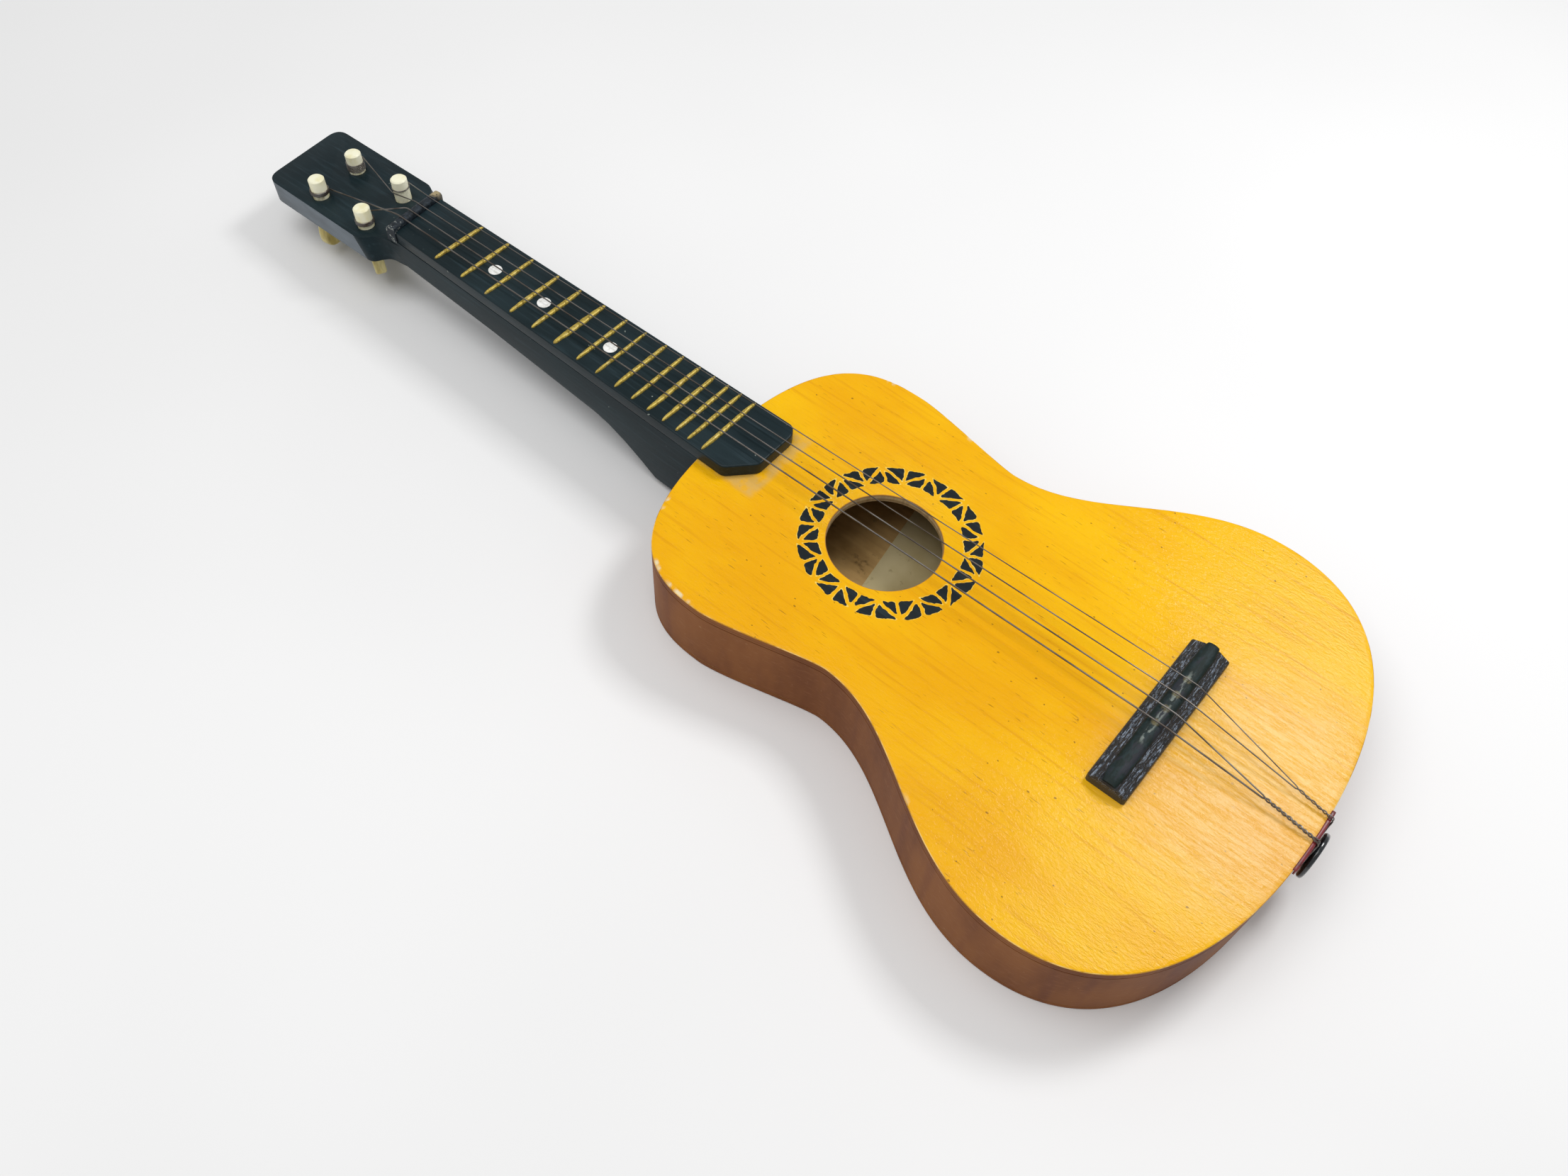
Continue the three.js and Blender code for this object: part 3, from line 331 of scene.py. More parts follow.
def yellow_varnish():
    """Birch ply under golden varnish: fine grain along the body, dark dashes, a grainy gloss."""
    finish = Finish("yellow_varnish", roughness=0.21, specular=0.2)
    fade, noise_of, cover = finish.fade, finish.noise, finish.cover
    fibre = noise_of((1900, 90, 1900), detail=2, roughness=0.6)
    cloud = noise_of((14, 7, 14), detail=4, roughness=0.6)
    finish.ground(cloud, 0.36, 0.66, "EDAA02", "F7BE06")
    grain = noise_of((520, 16, 520), detail=4, roughness=0.6)
    cover("DB9402", fade(grain, 0.5, 0.8), 0.7)
    cover("C27E04", fade(fibre, 0.58, 0.8), 0.35)
    dash = fade(noise_of((1500, 130, 1500), detail=1), 0.68, 0.74)
    patchy = fade(noise_of((60, 40, 60), detail=2), 0.4, 0.6)
    cover("8E5A06", dash, patchy, 0.6)
    speck = fade(noise_of((620, 420, 620), detail=0), 0.83, 0.85)
    cover("5E3A10", speck, 0.6)
    # Painted reflection: between the bridge and the tail the window's gloss is painted on the varnish
    # in pale streaks.
    streak = fade(noise_of((620, 60, 620), detail=4, roughness=0.7), 0.38, 0.62)
    painted_gloss = finish.blend(streak, "E2A74A", "F6D49A")
    cover(painted_gloss, finish.near(0, LOWER_BOUT_Y - 52 * MM, 25 * MM, 55 * MM), 0.5)
    # Round the end of the fretboard the varnish stops short of the black edge.
    end = BOARD_BOX[0][1]
    along = fade(finish.place("Y"), end - 7.5 * MM, end - 4 * MM)
    across = fade(finish.maths("ABSOLUTE", finish.place("X")), 24 * MM, 20 * MM)
    ragged = fade(noise_of(160), 0.3, 0.6)
    cover("D2AE6A", along, across, ragged, 0.65)
    # The rim is darker in places and painted with a broken highlight line in others, and chipped to
    # bare wood.
    highlight_share = fade(noise_of(45, detail=4, roughness=0.7), 0.45, 0.6)
    cover(finish.blend(highlight_share, "8A5210", "EAD9A4"), finish.attribute("rim"), 0.7)
    cover("EAD8AE", finish.attribute("chip"))
    finish.bump(fibre, 0.05 * MM, 0.5)
    finish.bump(noise_of((420, 160, 420)), 0.12 * MM, 0.35)
    finish.bump(noise_of((850, 330, 850), roughness=0.65), 0.3 * MM, 1.0)
    return finish.material


def brown_stain():
    """Thin terracotta paint on bent ply, cloudy from side to side."""
    finish = Finish("brown_stain", roughness=0.55, specular=0.12)
    band = finish.noise((75, 75, 6), detail=2)
    fibre = finish.noise((260, 260, 900))
    cloud = finish.noise((24, 24, 9), detail=4, roughness=0.6)
    finish.ground(cloud, 0.35, 0.65, "724223", "8D582E")
    finish.cover("623529", finish.fade(band, 0.5, 0.75), 0.5)
    finish.cover("A87450", finish.fade(fibre, 0.5, 0.8), 0.25)
    finish.cover("B58B66", finish.fade(finish.noise(380, detail=2), 0.72, 0.78), 0.3)
    # The glue line of the top's lower veneer, and the joint between top and rib.
    for level in (PLY_LINE, TOP_LOW):
        finish.cover("4A2A1E", finish.fade(finish.off("Z", level), 0.3 * MM, 0.1 * MM), 0.5)
    finish.bump(fibre, 0.06 * MM, 0.4)
    finish.bump(band, 0.3 * MM, 0.25)
    return finish.material


def bare_ply():
    """Unvarnished wood, with long grain and stains."""
    finish = Finish("bare_ply", roughness=0.85, specular=0.2)
    grain = finish.noise((420, 18, 420), detail=4, roughness=0.65)
    cloud = finish.noise((28, 22, 28), detail=4, roughness=0.6)
    finish.ground(cloud, 0.35, 0.7, "C9A46A", "96733F")
    finish.cover("8A6638", finish.fade(grain, 0.35, 0.7), 0.3)
    stain = finish.fade(finish.noise((70, 60, 70), detail=5, roughness=0.7), 0.56, 0.7)
    finish.cover("463220", stain, 0.75)
    finish.bump(grain, 0.1 * MM, 0.5)
    return finish.material


def ply_layers():
    """The cut edge of the soundboard inside the hole: pale and darker layers of veneer."""
    finish = Finish("ply_layers", roughness=0.8, specular=0.2)
    thickness = TOP_FACE - TOP_LOW
    height = finish.maths("SUBTRACT", finish.place("Z"), TOP_LOW)
    dark = finish.fade(finish.maths("PINGPONG", height, thickness / 3), 0.55 * MM, 1.0 * MM)
    fibre = finish.noise((500, 500, 60))
    finish.base = "C9AE80"
    finish.cover("8A6A42", dark, 0.6)
    finish.cover("6B4A28", finish.fade(fibre, 0.45, 0.75), 0.4)
    finish.cover("C4810F", finish.fade(height, thickness - 0.5 * MM, thickness), 0.8)
    finish.bump(fibre, 0.1 * MM, 0.6)
    return finish.material


def black_paint(name="black_paint", roughness=0.42, dark="0F1F24", light="1A2B30"):
    """Blue-black paint over wood, with faint lighter brush marks along the neck and pale specks; in
    grey it paints the sheen on the head's sides.
    """
    finish = Finish(name, roughness=roughness, specular=0.2)
    cloud = finish.noise((40, 14, 40), detail=4, roughness=0.6)
    brush = finish.noise((600, 30, 600))
    finish.ground(cloud, 0.35, 0.7, dark, light)
    finish.cover("3A4C54", finish.fade(brush, 0.5, 0.8), 0.3)
    finish.cover("9AA29A", finish.fade(finish.noise(420, detail=1), 0.80, 0.83), 0.7)
    finish.gloss(finish.maths("MULTIPLY_ADD", cloud, 0.22, roughness - 0.1))
    finish.bump(brush, 0.06 * MM, 0.5)
    finish.bump(finish.noise((170, 110, 170)), 0.2 * MM, 0.25)
    return finish.material


def nut_paint():
    """Rough black paint on the nut, worn to tan at its treble end, pale specks at the other."""
    finish = Finish("nut_paint", roughness=0.5, specular=0.3)
    rough = finish.noise(520, detail=5, roughness=0.75)
    finish.ground(rough, 0.4, 0.65, "141C22", "2C3640")
    low, high = NUT_BOX
    treble_end = finish.near(high[0] - 2 * MM, high[1] - 3 * MM, 1.5 * MM, 2.5 * MM)
    finish.cover("B3A179", treble_end, finish.fade(rough, 0.36, 0.5), 0.9)
    bass_end = finish.near(low[0] + 3 * MM, (low[1] + high[1]) / 2, 3 * MM, 4 * MM)
    finish.cover("B9BDB2", bass_end, finish.fade(rough, 0.58, 0.64))
    finish.bump(rough, 0.5 * MM, 0.8)
    return finish.material


def ribbed_black():
    """Thick black paint dragged along the bridge, with broken ridges on the slopes and painted
    highlights on them.
    """
    finish = Finish("ribbed_black", roughness=0.22, specular=0.75)
    drag = finish.noise((190, 1500, 1500), detail=5, roughness=0.75, distortion=0.4)
    lumps = finish.noise((700, 1300, 1300))
    finish.ground(drag, 0.4, 0.7, "0A121A", "16212C")
    # Painted highlight: pale blue-grey glints on the ridges of the slopes.
    painted_glint = (finish.fade(drag, 0.5, 0.6), finish.fade(lumps, 0.38, 0.55))
    finish.cover("98A8BC", *painted_glint, finish.attribute("flank"))
    finish.bump(drag, 1.1 * MM, 1.0)
    finish.bump(lumps, 0.5 * MM, 0.7)
    return finish.material


def worn_black():
    """Smooth greenish black on the crest of the bridge, rubbed to tan under the strings."""
    finish = Finish("worn_black", roughness=0.5, specular=0.18)
    rub = finish.noise((190, 420, 420), detail=5, roughness=0.7)
    finish.ground(rub, 0.45, 0.62, "14211F", "1F2E30")
    finish.cover("2E2C36", finish.fade(finish.noise((110, 300, 110)), 0.5, 0.62), 0.6)
    middle = (BRIDGE_BOX[0][1] + BRIDGE_BOX[1][1]) / 2
    for x in STRINGS_AT_SADDLE:
        close = finish.near(x, middle, 0.7 * MM, 1.6 * MM)
        finish.cover("8F8460", close, finish.fade(rub, 0.36, 0.52), 0.8)
    # A broken grey streak runs along the top of the crest towards the bass end.
    lengthwise = finish.maths(
        "MULTIPLY",
        finish.fade(finish.place("X"), -19 * MM, -15 * MM),
        finish.fade(finish.place("X"), 27 * MM, 20 * MM),
    )
    ridge = finish.fade(finish.off("Y", middle), 1.5 * MM, 0.5 * MM)
    broken = finish.fade(finish.noise((260, 700, 260), detail=4), 0.47, 0.6)
    finish.cover("8C958E", ridge, broken, lengthwise, 0.65)
    finish.bump(rub, 0.3 * MM, 0.6)
    return finish.material


def aged_gold():
    """Gold paint on the frets, with brown tarnish and black paint over the ends."""
    finish = Finish("aged_gold", roughness=0.42, metallic=0.35)
    tarnish = finish.noise((700, 900, 700), detail=4, roughness=0.7)
    finish.ground(tarnish, 0.42, 0.7, "C9B04E", "8A7230")
    light = finish.fade(finish.noise((260, 500, 260), detail=2), 0.55, 0.75)
    finish.cover("DCCB8A", light, 0.6)
    finish.cover("4A3D1C", finish.fade(finish.noise(1500, detail=2), 0.63, 0.72), 0.7)
    finish.cover("1B2428", finish.attribute("painted_end"))
    finish.bump(tarnish, 0.15 * MM, 0.6)
    return finish.material


def ivory():
    """Ivory plastic, clean on top, streaked darker just above the head's face, and yellowed with
    painted shade below it.
    """
    finish = Finish("ivory", roughness=0.42, specular=0.45, coat=0.1, coat_roughness=0.2)
    cloud = finish.noise((160, 160, 90))
    finish.ground(cloud, 0.4, 0.7, "FBF8DC", "F0E9BC")
    # Below the head's face the pegs are yellowed and painted in shade.
    yellowed_and_shaded = finish.blend(finish.fade(cloud, 0.4, 0.65), "D9CC8C", "BBA85C")
    finish.cover(yellowed_and_shaded, finish.fade(finish.place("Z"), 36 * MM, 27 * MM))
    # Darker streaks on the shanks just above the head's face.
    darker_near_face = finish.fade(finish.place("Z"), 42.5 * MM, 38 * MM)
    streak = finish.fade(finish.noise((500, 500, 160)), 0.42, 0.7)
    finish.cover("8C7C46", darker_near_face, streak, 0.5)
    finish.bump(cloud, 0.2 * MM, 0.3)
    return finish.material


def drawn_wire():
    finish = Finish("drawn_wire", roughness=0.34, metallic=0.85)
    finish.ground(finish.noise((300, 60, 300)), 0.35, 0.7, "86827E", "5A5048")
    finish.bump(finish.noise((4000, 900, 4000), detail=1), 0.02 * MM, 0.4)
    return finish.material


def mottled(name, scale, light, dark, fades=(0.4, 0.7), detail=3, relief=0.0, strength=0.0, **shader):
    """A plain finish with a slight cloudiness, and relief where it is given."""
    finish = Finish(name, **shader)
    cloud = finish.noise(scale, detail=detail)
    finish.ground(cloud, *fades, light, dark)
    if relief:
        finish.bump(cloud, relief, strength)
    return finish.material


def glossy_black():
    finish = Finish("glossy_black", roughness=0.16, specular=0.6, coat=0.4, coat_roughness=0.06)
    cloud = finish.noise(300)
    finish.ground(cloud, 0.4, 0.7, "0E1316", "1B2327")
    finish.gloss(finish.maths("MULTIPLY_ADD", cloud, 0.2, 0.08))
    finish.bump(cloud, 0.08 * MM, 0.3)
    return finish.material


def old_paper():
    """Blank aged paper with a few fox marks."""
    finish = Finish("old_paper", roughness=0.9, specular=0.15)
    finish.ground(finish.noise(30, detail=4), 0.35, 0.7, "CDBE92", "B09E70")
    mark = finish.fade(finish.noise(140, detail=4, roughness=0.7), 0.63, 0.75)
    finish.cover("7A6440", mark, 0.5)
    finish.bump(finish.noise(500, detail=2), 0.05 * MM, 0.4)
    return finish.material


# Body


def side_outline(side):
    """One side of the body, from the shoulder at the neck round to the tail, as four curves."""
    sign = side["sign"]
    upper, waist, lower = side["upper"], side["waist"], side["lower"]
    bout, wide = UPPER_BOUT_Y, LOWER_BOUT_Y
    shapes = [
        [(0, SHOULDER_Y), (upper, SHOULDER_Y), (upper, bout + 19.5 * MM), (upper, bout)],
        [(upper, bout), (upper, bout - 13.5 * MM), (waist, WAIST_Y + 9 * MM), (waist, WAIST_Y)],
        [(waist, WAIST_Y), (waist, WAIST_Y - 41 * MM), (lower, wide + 47.5 * MM), (lower, wide)],
        [(lower, wide), (lower, wide - 20.5 * MM), (lower - 6 * MM, TAIL_Y), (0, TAIL_Y)],
    ]
    path = []
    for a, b, c, d in shapes:
        for step in range(OUTLINE_STEPS):
            t = step / OUTLINE_STEPS
            weights = ((1 - t) ** 3, 3 * t * (1 - t) ** 2, 3 * t * t * (1 - t), t ** 3)
            x = sum(w * p[0] for w, p in zip(weights, (a, b, c, d)))
            y = sum(w * p[1] for w, p in zip(weights, (a, b, c, d)))
            path.append(Vector((sign * x, y, 0)))
    path.append(Vector((0, TAIL_Y, 0)))
    return path


def inward(path, sign):
    """For each point of a side, the direction square to the curve and into the body."""
    directions = []
    for i in range(len(path)):
        if i == 0:
            directions.append(Vector((0, -1, 0)))
        elif i == len(path) - 1:
            directions.append(Vector((0, 1, 0)))
        else:
            along = (path[i + 1] - path[i - 1]).normalized()
            directions.append(Vector((along.y, -along.x, 0)) * sign)
    return directions


def body_outline():
    """The whole outline and its inward directions, down the treble side and back up the bass side."""
    points, directions = [], []
    for side, order in ((TREBLE_SIDE, 1), (BASS_SIDE, -1)):
        path = side_outline(side)
        into = inward(path, side["sign"])
        if order < 0:
            path, into = path[::-1][1:-1], into[::-1][1:-1]
        points += path
        directions += into
    return points, directions


OUTLINE, INWARD = body_outline()


def circle(radius, x, y, count):
    turns = [2 * math.pi * i / count for i in range(count)]
    return [Vector((x + radius * math.cos(t), y + radius * math.sin(t), 0)) for t in turns]


def edges_of(bm, ring):
    made = []
    for i, vert in enumerate(ring):
        other = ring[(i + 1) % len(ring)]
        edge = bm.edges.get((vert, other)) or bm.edges.new((vert, other))
        made.append(edge)
    return made


def chip_at(point):
    """How far the varnish is chipped at a place on the rim: mostly nothing, here and there a flake."""
    rough = noise.noise(point * 70)
    fine = noise.noise(point * 420)
    here = point - Vector((-CHIPPED[0], CHIPPED[1], 0))
    often = 0.45 * max(0.0, 1 - here.length / CHIPPED[2]) - 0.1
    return max(0.0, min(1.0, (rough - 0.33 + often) * 6)) * max(0.0, min(1.0, (fine + 0.25) * 2.5))


def plate(name, low, high, hole=None, chips=False):
    """A plate of the body's outline, edges eased: 0 its faces, 1 its edge, 2 the hole's wall."""
    ease = 0.45 * MM
    bm = bmesh.new()
    rim = bm.verts.layers.float.new("rim")
    chip = bm.verts.layers.float.new("chip")
    profile = [
        (ease, low),
        (0.0, low + ease),
        (0.0, high - 0.8 * ease),
        (0.25 * ease, high - 0.2 * ease),
        (ease, high),
    ]
    rings = []
    for level, (inset, z) in enumerate(profile):
        ring = []
        for point, into in zip(OUTLINE, INWARD):
            flake = chip_at(point) if chips and level >= 3 else 0.0
            deep = flake * (1.1 * MM if level == 4 else 0.5 * MM)
            sunk = flake * 0.25 * MM * (level == 3)
            vert = bm.verts.new(point + into * (inset + deep) + Vector((0, 0, z - sunk)))
            vert[rim] = 1.0 if level == 3 else 0.0
            vert[chip] = flake if level >= 3 else 0.0
            ring.append(vert)
        rings.append(ring)
    if chips:
        # A narrow band inside the rim takes up the flakes, so that the face behind it stays clean.
        ring = []
        for point, into in zip(OUTLINE, INWARD):
            ring.append(bm.verts.new(point + into * 2.2 * MM + Vector((0, 0, high))))
        rings.append(ring)
    for level, (one, other) in enumerate(zip(rings, rings[1:])):
        skin_ring(bm, one, other, 1 if level < 2 else 0)
    bottom = edges_of(bm, rings[0])
    top = edges_of(bm, rings[-1])
    if hole:
        x, y, radius = hole
        walls = []
        levels = [(ease, low), (0, low + ease), (0, high - ease), (0.3 * ease, high - 0.3 * ease)]
        for spread, z in [*levels, (ease, high)]:
            round_hole = circle(radius + spread, x, y, 144)
            walls.append([bm.verts.new(p + Vector((0, 0, z))) for p in round_hole])
        for one, other in zip(walls, walls[1:]):
            skin_ring(bm, one, other, 2)
        bottom += edges_of(bm, walls[0])
        top += edges_of(bm, walls[-1])
    for edges in (bottom, top):
        bmesh.ops.triangle_fill(bm, use_beauty=True, use_dissolve=False, edges=edges)
    return add_object(name, mesh_from(bm, name))


def rib(name, side):
    """A bent side between the plates, with eased outer edges, slightly uneven along its length."""
    path = side_outline(side)
    into = inward(path, side["sign"])
    ease = 0.3 * MM
    low, high = BACK_TOP, TOP_LOW
    section = [
        (ease, low),
        (0, low + ease),
        (0, high - ease),
        (ease, high),
        (RIB_THICKNESS, high),
        (RIB_THICKNESS, low),
    ]
    rings = []
    for point, direction in zip(path, into):
        deep = max(0.0, 0.12 * MM * noise.noise(point * 30))
        rings.append([point + direction * (inset + deep) + Vector((0, 0, z)) for inset, z in section])
    return sweep(name, rings)


def body(finishes):
    yellow, brown, ply, bare = (finishes[look] for look in ("yellow", "brown", "layers", "bare"))
    top = plate("soundboard_varnished", TOP_LOW, TOP_FACE, (HOLE_X, 0, HOLE_RADIUS), chips=True)
    finished(top, "body", "varnished_top", [yellow, brown, ply, bare], "soundboard")
    for face in top.data.polygons:
        if face.normal.z < -0.9:
            face.material_index = 3
    back = plate("back_stained", 0, BACK_TOP)
    finished(back, "body", "brown_ribs", [brown, brown, ply, bare], "back_panel")
    for face in back.data.polygons:
        if face.normal.z > 0.9:
            face.material_index = 3
    for node, side in (("rib_bass", BASS_SIDE), ("rib_treble", TREBLE_SIDE)):
        finished(rib(node + "_bent", side), "body", "brown_ribs", brown, node)


# Stencilled ring


def ring_corner(angle, radius):
    return Vector((radius * math.cos(angle), radius * math.sin(angle)))


def stencil_patches(margin):
    """The four triangles of two mirrored cells, as outlines, with bars left bare between them."""
    cell = math.pi / RING_PAIRS
    bar = RING_BAR / 2 - margin
    mean = (RING_INNER + RING_OUTER) / 2
    # Flattened cell: u along the ring, v from the inner to the outer edge.
    width = cell * mean
    height = RING_OUTER - RING_INNER
    slope = height / width
    drop = bar * math.hypot(width, height) / width
    low, high = -margin, height + margin
    # The bar between the two triangles runs along v = slope * u.
    far = width - bar
    outer = [(bar, slope * bar + drop), (bar, high), ((high - drop) / slope, high)]
    inner = [(far, slope * far - drop), (far, low), ((low + drop) / slope, low)]
    patches = []
    for corners in (outer, inner):
        rounded = round_corners(corners, 1.5 * MM)
        for mirror in (-1, 1):
            patch = []
            for u, v in rounded:
                angle = mirror * (cell - u / mean)
                patch.append(ring_corner(angle, RING_INNER + v))
            patches.append(patch)
    return patches


def round_corners(corners, size):
    """A closed outline with each corner cut round and points along each edge."""
    points = []
    count = len(corners)
    for i in range(count):
        before, here, after = (Vector(corners[(i + k) % count]) for k in (-1, 0, 1))
        points += bend(before, here, after, size, 1 / 3, 4)
        end = points[-1]
        stop = after + (here - after).normalized() * min(size, (here - after).length / 3)
        for t in (0.15, 0.3, 0.45, 0.6, 0.75, 0.9):
            points.append(end.lerp(stop, t))
    return points


def motif_mesh(name, margin, thickness):
    bm = bmesh.new()
    for patch in stencil_patches(margin):
        slab(bm, patch, 0, thickness)
    return mesh_from(bm, name)


class Recipe(Nodes):
    """A Geometry Nodes tree with named inputs and one geometry output."""

    def __init__(self, name, **inputs):
        self.tree = bpy.data.node_groups.new(name, "GeometryNodeTree")
        self.tree.interface.new_socket("Geometry", in_out="OUTPUT", socket_type="NodeSocketGeometry")
        for label, kind in inputs.items():
            self.tree.interface.new_socket(label, in_out="INPUT", socket_type="NodeSocket" + kind)
        self.given = self.tree.nodes.new("NodeGroupInput").outputs
        self.result = self.tree.nodes.new("NodeGroupOutput")

    def give(self, geometry):
        """Ends the tree with this geometry in the finish that was asked for."""
        values = {"Geometry": geometry, "Material": self.given["Finish"]}
        coated = self.add("GeometryNodeSetMaterial", values)
        self.put(self.result.inputs[0], coated)
        return self.tree


def run_tree(name, tree, **values):
    """The plain mesh that a tree makes with these values."""
    piece = add_object(name, bpy.data.meshes.new(name))
    modifier = piece.modifiers.new(tree.name, "NODES")
    modifier.node_group = tree
    for item in tree.interface.items_tree:
        if item.item_type == "SOCKET" and item.in_out == "INPUT" and item.name in values:
            modifier[item.identifier] = values[item.name]
    return baked(piece)


def stencil_tree():
    """Copies of a motif round a centre, with hand-cut unevenness."""
    inputs = {"Motif": "Object", "Copies": "Int", "Unevenness": "Float", "Finish": "Material"}
    recipe = Recipe("stencil_ring", **inputs)
    add, given, vectors = recipe.add, recipe.given, "ShaderNodeVectorMath"
    points = add("GeometryNodePoints", {"Count": given["Copies"]})
    motif = add("GeometryNodeObjectInfo", {"Object": given["Motif"]}, result="Geometry")
    step = add("ShaderNodeMath", {0: 2 * math.pi, 1: given["Copies"]}, operation="DIVIDE")
    turn = add("ShaderNodeMath", {0: add("GeometryNodeInputIndex"), 1: step}, operation="MULTIPLY")
    spin = add("ShaderNodeCombineXYZ", {"Z": turn})
    placed = {"Points": points, "Instance": motif, "Rotation": spin}
    copies = add("GeometryNodeInstanceOnPoints", placed)
    real = add("GeometryNodeRealizeInstances", {0: copies})
    flat = add(vectors, {0: add("GeometryNodeInputPosition"), 1: (1, 1, 0)}, operation="MULTIPLY")
    offsets = []
    for scale, share in WANDER:
        values = {"Vector": flat, "Scale": scale, "Detail": 1}
        wander = add("ShaderNodeTexNoise", values, result="Color")
        centred = add(vectors, {0: wander, 1: (0.5, 0.5, 0.5)}, operation="SUBTRACT")
        offsets.append(add(vectors, {0: centred, 1: (share, share, 0)}, operation="MULTIPLY"))
    both = add(vectors, {0: offsets[0], 1: offsets[1]}, operation="ADD")
    sized = add(vectors, {0: both, "Scale": given["Unevenness"]}, operation="SCALE")
    return recipe.give(add("GeometryNodeSetPosition", {"Geometry": real, "Offset": sized}))


def stencil_ring(finishes):
    """The black patches, each on a slightly wider pale one that shows as its scored outline."""
    tree = stencil_tree()
    place = Matrix.Translation(RING_CENTRE + Vector((0, 0, TOP_FACE - 0.01 * MM)))
    layers = [
        ("stencil_outline", CUT_WIDTH, 0.4, "varnished_top", "cut"),
        ("stencil_ring", 0.0, 1.0, "black_paint", "stencil"),
    ]
    for name, margin, share, slot, finish in layers:
        motif = add_object(name + "_motif", motif_mesh(name, margin, share * PAINT_THICKNESS))
        values = {"Motif": motif, "Copies": RING_PAIRS, "Unevenness": RAGGEDNESS}
        ring = run_tree(name, tree, **values, Finish=finishes[finish])
        bpy.data.objects.remove(motif)
        ring.data.transform(place @ Matrix.Rotation(RING_TURN, 4, "Z"))
        finished(ring, "body", slot, finishes[finish])


# Strings

STRING_RADII = [0.25 * MM, 0.3 * MM, 0.35 * MM, 0.4 * MM]
STRINGS_AT_NUT = [11.1 * MM, 3.9 * MM, -2.3 * MM, -8.9 * MM]
STRINGS_AT_SADDLE = [20.1 * MM, 11 * MM, 2.5 * MM, -5.6 * MM]
HEAD_TILT = math.radians(3.5)
HEAD_STEP = 2.5 * MM
NUT_TURN = 0.08
NUT_BACK = 310 * MM
NUT_FRONT = 304 * MM
HEAD_EDGE_START = 324 * MM
# Each peg: place across, place behind the nut, height at which its string leaves, turns of string,
# and the height at which they begin
PEGS = [
    (10.5, 21, 8, 2, 7.2),
    (10.4, 59, 6.75, 5, 1.4),
    (-16.5, 19, 5, 4, 2.2),
    (-16, 56.5, 1.7, 4, 4.4),
]
PEG_RADIUS = 4.3 * MM
SHANK_RADIUS = 5 * MM
# Air between a string and what carries it
STRING_GAP = 0.25 * MM
# Each pair of strings: the place at which they meet behind the saddle, and where they cross the tail
PAIRS = [((9.2 * MM, -194.7 * MM), 7.7 * MM), ((-3.8 * MM, -186.6 * MM), -4.9 * MM)]
PAIR_SPACING = 1.3 * MM


def on_head(x, back, up):
    """A place over the tilted head, from millimetres across, behind the nut and above its face."""
    tilt = Matrix.Rotation(-HEAD_TILT, 4, "X")
    return Vector((0, NUT_BACK, TOP_FACE - HEAD_STEP)) + tilt @ Vector((x * MM, back * MM, up * MM))


def leaving(i, towards):
    """Where string i leaves its peg, on a line that touches the winding on the treble side."""
    x, back, up = PEGS[i][:3]
    axis = on_head(x, back, up)
    radius = PEG_RADIUS + 0.15 * MM + STRING_RADII[i]
    line = (towards - axis).to_2d()
    turn = math.acos(radius / line.length)
    out = Matrix.Rotation(turn, 2) @ line.normalized()
    return axis + Vector((out.x, out.y, 0)) * radius, axis, math.atan2(out.y, out.x)


def eased(points, size, steps=6):
    """The same run with each inner corner taken round."""
    path = [points[0]]
    for corner in zip(points, points[1:], points[2:]):
        path += bend(*corner, size, 0.45, steps)
    return [*path, points[-1]]


def string_run(i):
    """The way of string i from its peg to the tail, and from the tail round to the button."""
    radius, gap = STRING_RADII[i], STRING_GAP
    nut_z = NUT_BOX[1][2] - 0.7 * MM + radius + gap
    nut_x = STRINGS_AT_NUT[i]
    skew = nut_x * math.tan(NUT_TURN)
    nut_front = Vector((nut_x, NUT_FRONT + skew, nut_z))
    nut_back = Vector((nut_x, NUT_BACK + skew + 0.3 * MM, nut_z))
    bends = []
    if i == 1:
        x, back = PEGS[0][:2]
        bends.append(on_head(x - (PEG_RADIUS + radius + gap) / MM, back + 1, 5.5))
    start, _, _ = leaving(i, bends[0] if bends else nut_back)
    saddle_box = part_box("saddle")
    saddle_z = saddle_box[1][2] + radius + gap
    saddle_y = saddle_box[0][1] - 3 * MM
    (meet_x, meet_y), tail_x = PAIRS[i // 2]
    side = (0.5 if i % 2 == 0 else -0.5) * PAIR_SPACING
    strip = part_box("tail_saddle")
    edge_y, edge_z = strip[0][1], strip[1][2]
    lip = Vector((tail_x + side, TAIL_Y + 0.5 * MM, edge_z + radius + gap + 0.2 * MM))
    share = (saddle_y - meet_y) / (saddle_y - lip.y)
    meet = Vector((meet_x + side, meet_y, saddle_z + (lip.z - saddle_z) * share))
    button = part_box("end_button")
    button_x = (button[0][0] + button[1][0]) / 2
    button_z = (button[0][2] + button[1][2]) / 2
    behind = edge_y - radius - gap
    outer = (i % 2 == 0) == (tail_x > button_x)
    from_shank = SHANK_RADIUS + radius + gap + 0.1 * MM + (1 * MM if outer else 0)
    shank_x = button_x + math.copysign(from_shank, tail_x - button_x)
    behind_saddle = Vector((STRINGS_AT_SADDLE[i], saddle_y, saddle_z))
    head_part = eased([start, *bends, nut_back, nut_front, behind_saddle, meet, lip], 2 * MM)
    tail_part = eased(
        [
            lip,
            Vector((tail_x + side, edge_y - 0.1 * MM, edge_z + radius + gap)),
            Vector((tail_x + side, behind, edge_z - 0.5 * MM)),
            Vector((tail_x + side, behind, edge_z - 3.4 * MM)),
            Vector((shank_x, behind, button_z + 3 * MM)),
            Vector((shank_x, behind, button_z - 2 * MM)),
        ],
        0.5 * MM,
        steps=4,
    )
    return head_part, tail_part, meet, lip, side


